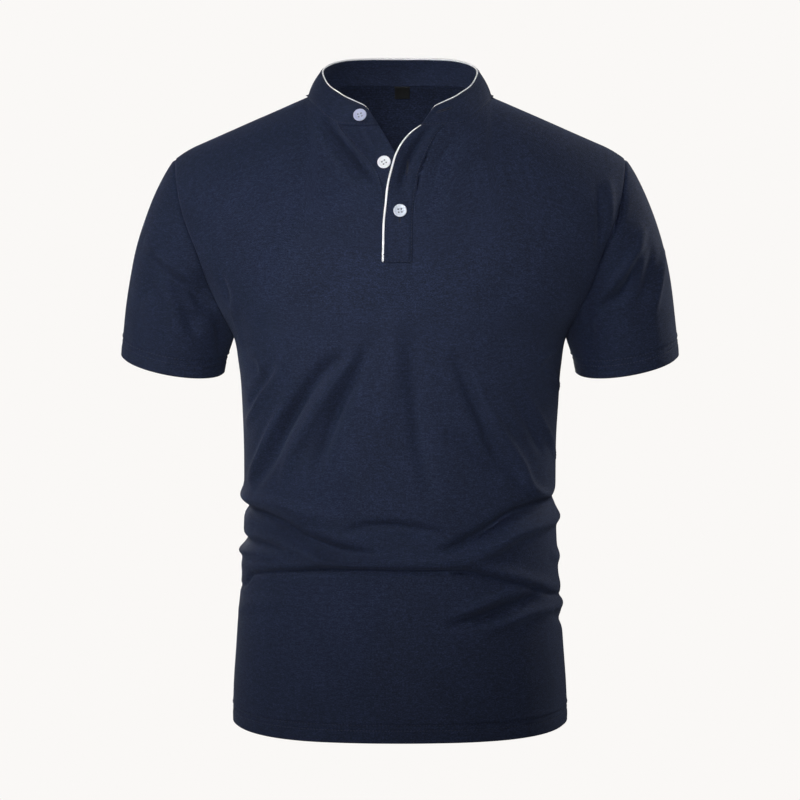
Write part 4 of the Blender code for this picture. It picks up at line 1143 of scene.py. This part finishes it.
def pearly_resin(name, dark, light):
    """Cast polyester with pearl pigment: soft swirls about 3 mm across, a clear gloss, and holes painted dark navy as
    their shade.
    """
    surface, tree, shader = new_surface(name)
    place = node(tree, "ShaderNodeTexCoord").outputs["Object"]
    swirl = noise(tree, place, 3, 3.0, Distortion=1.2)
    depth = node(tree, "ShaderNodeAttribute", attribute_name="hole").outputs["Fac"]
    # painted shade: the hole mask blends the holes to dark navy #10141F
    shade = blend(tree, depth, blend(tree, swirl, dark, light), "#10141F")
    tree.links.new(shade, shader.inputs["Base Color"])
    rough = node(tree, "ShaderNodeMapRange", {0: swirl, 3: 0.24, 4: 0.36}).outputs[0]
    tree.links.new(rough, shader.inputs["Roughness"])
    shader.inputs["IOR"].default_value = 1.54
    return surface


def button(name, points, x, z, tilt, surface):
    """Profile turned round a whole circle, less the depth of each hole: 1 - smooth step of distance from its middle."""
    (centre,), (out,) = lie_on(points, x, z, 7)(np.zeros(1), np.zeros(1))
    level_way = unit(np.cross([0, 0, 1], out))
    c, s = math.cos(math.radians(tilt)), math.sin(math.radians(tilt))
    first = c * level_way + s * np.cross(out, level_way)
    second = np.cross(out, first)
    steps = np.concatenate([np.linspace(0.06, 3, 30), np.linspace(3.15, 13.9, 56)])
    marks = np.arange(len(BUTTON_MARKS), dtype=float)
    radius, height = (along_curve(marks, BUTTON_MARKS[:, i], steps)[:, None] for i in (0, 1))
    turn = np.linspace(0, 2 * math.pi, BUTTON_AROUND, endpoint=False)[None]
    u, v = radius * np.cos(turn), radius * np.sin(turn)
    away = np.hypot(np.abs(u) - HOLE_PITCH, np.abs(v) - HOLE_PITCH)
    step = np.clip((HOLE_RADIUS + 0.12 - away) / 0.24, 0, 1)
    hole = step**2 * (3 - 2 * step) * (height > 1)
    height = height + 0 * u - HOLE_DEEP * hole
    place = centre + BUTTON_SEAT * out
    rings = place + u[..., None] * first + v[..., None] * second + height[..., None] * out
    number, index = closed_grid(*u.shape)
    faces = [quads_of(index)[:, ::-1], fan(u.size, number[0]), fan(u.size + 1, number[-1], back=True)]
    poles = np.stack([place + BUTTON_MARKS[0, 1] * out, place])
    piece = add_piece(name + "_turned", np.concatenate([rings.reshape(-1, 3), poles]), faces, surface)
    # the hole mask is kept on the points, so that the material can paint the holes' shade
    depth = piece.data.attributes.new("hole", "FLOAT", "POINT")
    depth.data.foreach_set("value", np.concatenate([hole.ravel(), [0, 0]]).astype(np.float32))
    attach(piece, "root")
    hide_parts(name)
    bars = place + np.array([[-1], [1]]) * HOLE_PITCH * second + 1.28 * out
    along, ways = (np.repeat(way[None], 2, axis=0) for way in (first, out))
    capsules(name + "_thread", bars, along, ways, 2 * HOLE_PITCH + 0.7, 0.3, pale_thread)


under = strips[-1][0]
# three copies of one pearly resin: the lilac, white and grey tints paint how the light falls on each button
button("button_collar", band, -38, -18.8, 20, pearly_resin("pearl_resin_lit_lilac", "#A3A9CE", "#D3D8EE"))
button("button_middle", under, -15, -63.5, 35, pearly_resin("pearl_resin_lit_white", "#DDE1EA", "#FFFFFF"))
button("button_lower", over, 0, -109, 8, pearly_resin("pearl_resin_lit_grey", "#B4BDD0", "#E2E7F0"))

# %% [markdown]
# ## Neck label
# A small woven label hangs from the back neck seam inside the shirt, and it is left bare. It is a satin ribbon, so it
# is smoother and blacker than the knit around it, and it stands a little off the cloth at its free end.

# %% The label
LABEL_RIGHT, LABEL_LEFT, LABEL_TALL, LABEL_WALL, LABEL_GAP = -5, 9.5, 11.5, 0.6, 0.25


def satin_weave():
    """Black polyester satin: floats run across the ribbon at 0.25 mm, drawn at 0.9 mm, with a low silky gloss."""
    surface, tree, shader = new_surface("black_satin_ribbon")
    place = node(tree, "ShaderNodeUVMap", uv_map="cut").outputs["UV"]
    floats = stripes(tree, place, 0.9, 0.6, "Y")
    woven(shader, blend(tree, floats, "#0A0B0D", "#17191C"), floats, 0.4, 0.1, 0.5)
    return surface


share = np.linspace(0, 1, 25)
rise = np.linspace(0, 1, 21)[:, None]
top = float(COLLAR[0].seam_height) - 1
x = LABEL_RIGHT + (LABEL_LEFT - LABEL_RIGHT) * share + 0 * rise
z = top - LABEL_TALL * (1 - rise) + 0.5 * (share - 0.5) * (1 - rise)
base = form(x, z, 1)
off = CLOTH_WALL + LABEL_WALL + LABEL_GAP + (1 - rise) ** 2 * (0.9 + 0.8 * (share - 0.4) ** 2)
label_points = base + outward(base) * (folded(base) - off)[..., None]
cut = np.stack([arc(label_points, 1), arc(label_points, 0)], axis=-1)
label, label_ways = grid_cloth("neck_label_ribbon", label_points, cut, LABEL_WALL, satin_weave())
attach(label, "root")
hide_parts("neck_label")
stitched("label_stitches", [(label_points[-2], label_ways[-2])], black_thread)

# %% [markdown]
# ## Flat sizes
# A record for the cut that a cloth piece is sewn from: the piece, its width and length in metres, the area of the cut
# in square metres, and what lies on it. No piece is given one here. A sleeve is cut as one curved piece that is sewn
# into a tube, so its area is far below its rectangle.

# %% The record of a cut
Cut = namedtuple("Cut", "piece wide tall area on_it")

# %% [markdown]
# ## Stage, light and camera
# A large lamp on the upper left is the main light, and a lower one beside it fills the folds. A gridded lamp lifts the
# chest, and those at the sides and behind draw the edges of the dark cloth. The camera stands more than three metres
# away, level with the chest, as a catalogue camera does, so the shirt is hardly foreshortened.

# %% Floor, lights and camera
FLOOR, FLOOR_RADIUS = -1300, 3000  # the shirt hangs, so the floor lies well below it
FADE_START, FADE_END = 1.0, 2.9  # metres from the middle of the floor
BACKDROP, GLOW = 1.0, 0.04  # the strength that the camera sees, and the one that lights the shirt


def pale_floor():
    """A round pale floor that fades into the backdrop: see-through = smooth step of the distance from the middle."""
    surface, tree, shader = new_surface("pale_floor")
    place = node(tree, "ShaderNodeTexCoord").outputs["Object"]
    away = node(tree, "ShaderNodeVectorMath", {0: place}, operation="LENGTH").outputs["Value"]
    ends = {0: away, 1: FADE_START, 2: FADE_END, 3: 1.0, 4: 0.0}
    fade = node(tree, "ShaderNodeMapRange", ends, interpolation_type="SMOOTHSTEP").outputs[0]
    tree.links.new(fade, shader.inputs["Alpha"])
    shader.inputs["Base Color"].default_value = linear("#F4F3F1")
    shader.inputs["Roughness"].default_value = 0.8
    return surface


radius = np.linspace(0, FLOOR_RADIUS, 25)[1:, None]
angle = np.linspace(0, 2 * math.pi, 96, endpoint=False)[None]
disc = np.stack([radius * np.cos(angle), radius * np.sin(angle), np.full_like(radius * angle, FLOOR)], axis=-1)
number, index = closed_grid(*disc.shape[:2])
faces = [quads_of(index)[:, ::-1], fan(number.size, number[0])]
floor = add_piece("floor", np.concatenate([disc.reshape(-1, 3), [[0, 0, FLOOR]]]), faces, pale_floor())

world = bpy.data.worlds.new("studio")
world.use_nodes = True
bpy.context.scene.world = world
tree = world.node_tree
tree.nodes.clear()
seen = node(tree, "ShaderNodeBackground", {"Color": linear("#FAF8F6"), "Strength": BACKDROP}).outputs[0]
lit = node(tree, "ShaderNodeBackground", {"Color": linear("#FFFFFF"), "Strength": GLOW}).outputs[0]
camera_ray = node(tree, "ShaderNodeLightPath").outputs["Is Camera Ray"]
both = node(tree, "ShaderNodeMixShader", {0: camera_ray, 1: lit, 2: seen}).outputs[0]
node(tree, "ShaderNodeOutputWorld", {"Surface": both})

Light = namedtuple("Light", "name place aim wide tall spread power")
LIGHTS = (  # places and sizes in metres, powers in watts; spread is the full angle of the beam in degrees
    Light("key", (-1.15, -1.25, 0.75), (0, 0, -0.2), 0.7, 0.7, 180, 11.0),
    Light("low_left", (-1.6, -0.7, 0.3), (0, 0, -0.25), 0.6, 0.8, 180, 6.4),
    Light("chest_grid", (-0.1, -2.4, 0.2), (-0.02, -0.1, -0.2), 0.5, 0.5, 22, 0.9),
    Light("side_right", (1.7, 0.25, 0.3), (0, 0, -0.2), 0.5, 0.8, 180, 3.9),
    Light("rim_right", (0.9, 0.5, 0.25), (0.3, 0, -0.1), 0.12, 0.5, 180, 5.4),
    Light("edge_left", (-1.3, 1.2, 0.45), (0, 0, -0.2), 0.4, 1.0, 180, 2.6),
    Light("back", (-0.6, 2.3, -0.05), (0, 0, -0.3), 1.0, 1.0, 180, 23.4),
)


def towards(place, aim):
    """The turn that points a lamp's or camera's own -Z from its place at the aim."""
    return (Vector(aim) - Vector(place)).to_track_quat("-Z", "Y").to_euler()


for row in LIGHTS:
    data = bpy.data.lights.new(row.name, "AREA")
    data.shape = "RECTANGLE"
    data.size, data.size_y, data.energy, data.spread = row.wide, row.tall, row.power, math.radians(row.spread)
    lamp = bpy.data.objects.new(row.name, data)
    lamp.location, lamp.rotation_euler = row.place, towards(row.place, row.aim)
    lamp.visible_camera = False
    bpy.context.scene.collection.objects.link(lamp)

CAMERA_PLACE, CAMERA_AIM, SENSOR, LENS = (0, -3.1922, -0.0713), (0, 0, -0.2945), 36, 147.54  # metres and millimetres
data = bpy.data.cameras.new("catalogue_camera")
data.sensor_width, data.lens = SENSOR, LENS
camera = bpy.data.objects.new("catalogue_camera", data)
camera.location, camera.rotation_euler = CAMERA_PLACE, towards(CAMERA_PLACE, CAMERA_AIM)
bpy.context.scene.collection.objects.link(camera)
bpy.context.scene.camera = camera
bpy.context.scene.view_settings.view_transform = "Standard"
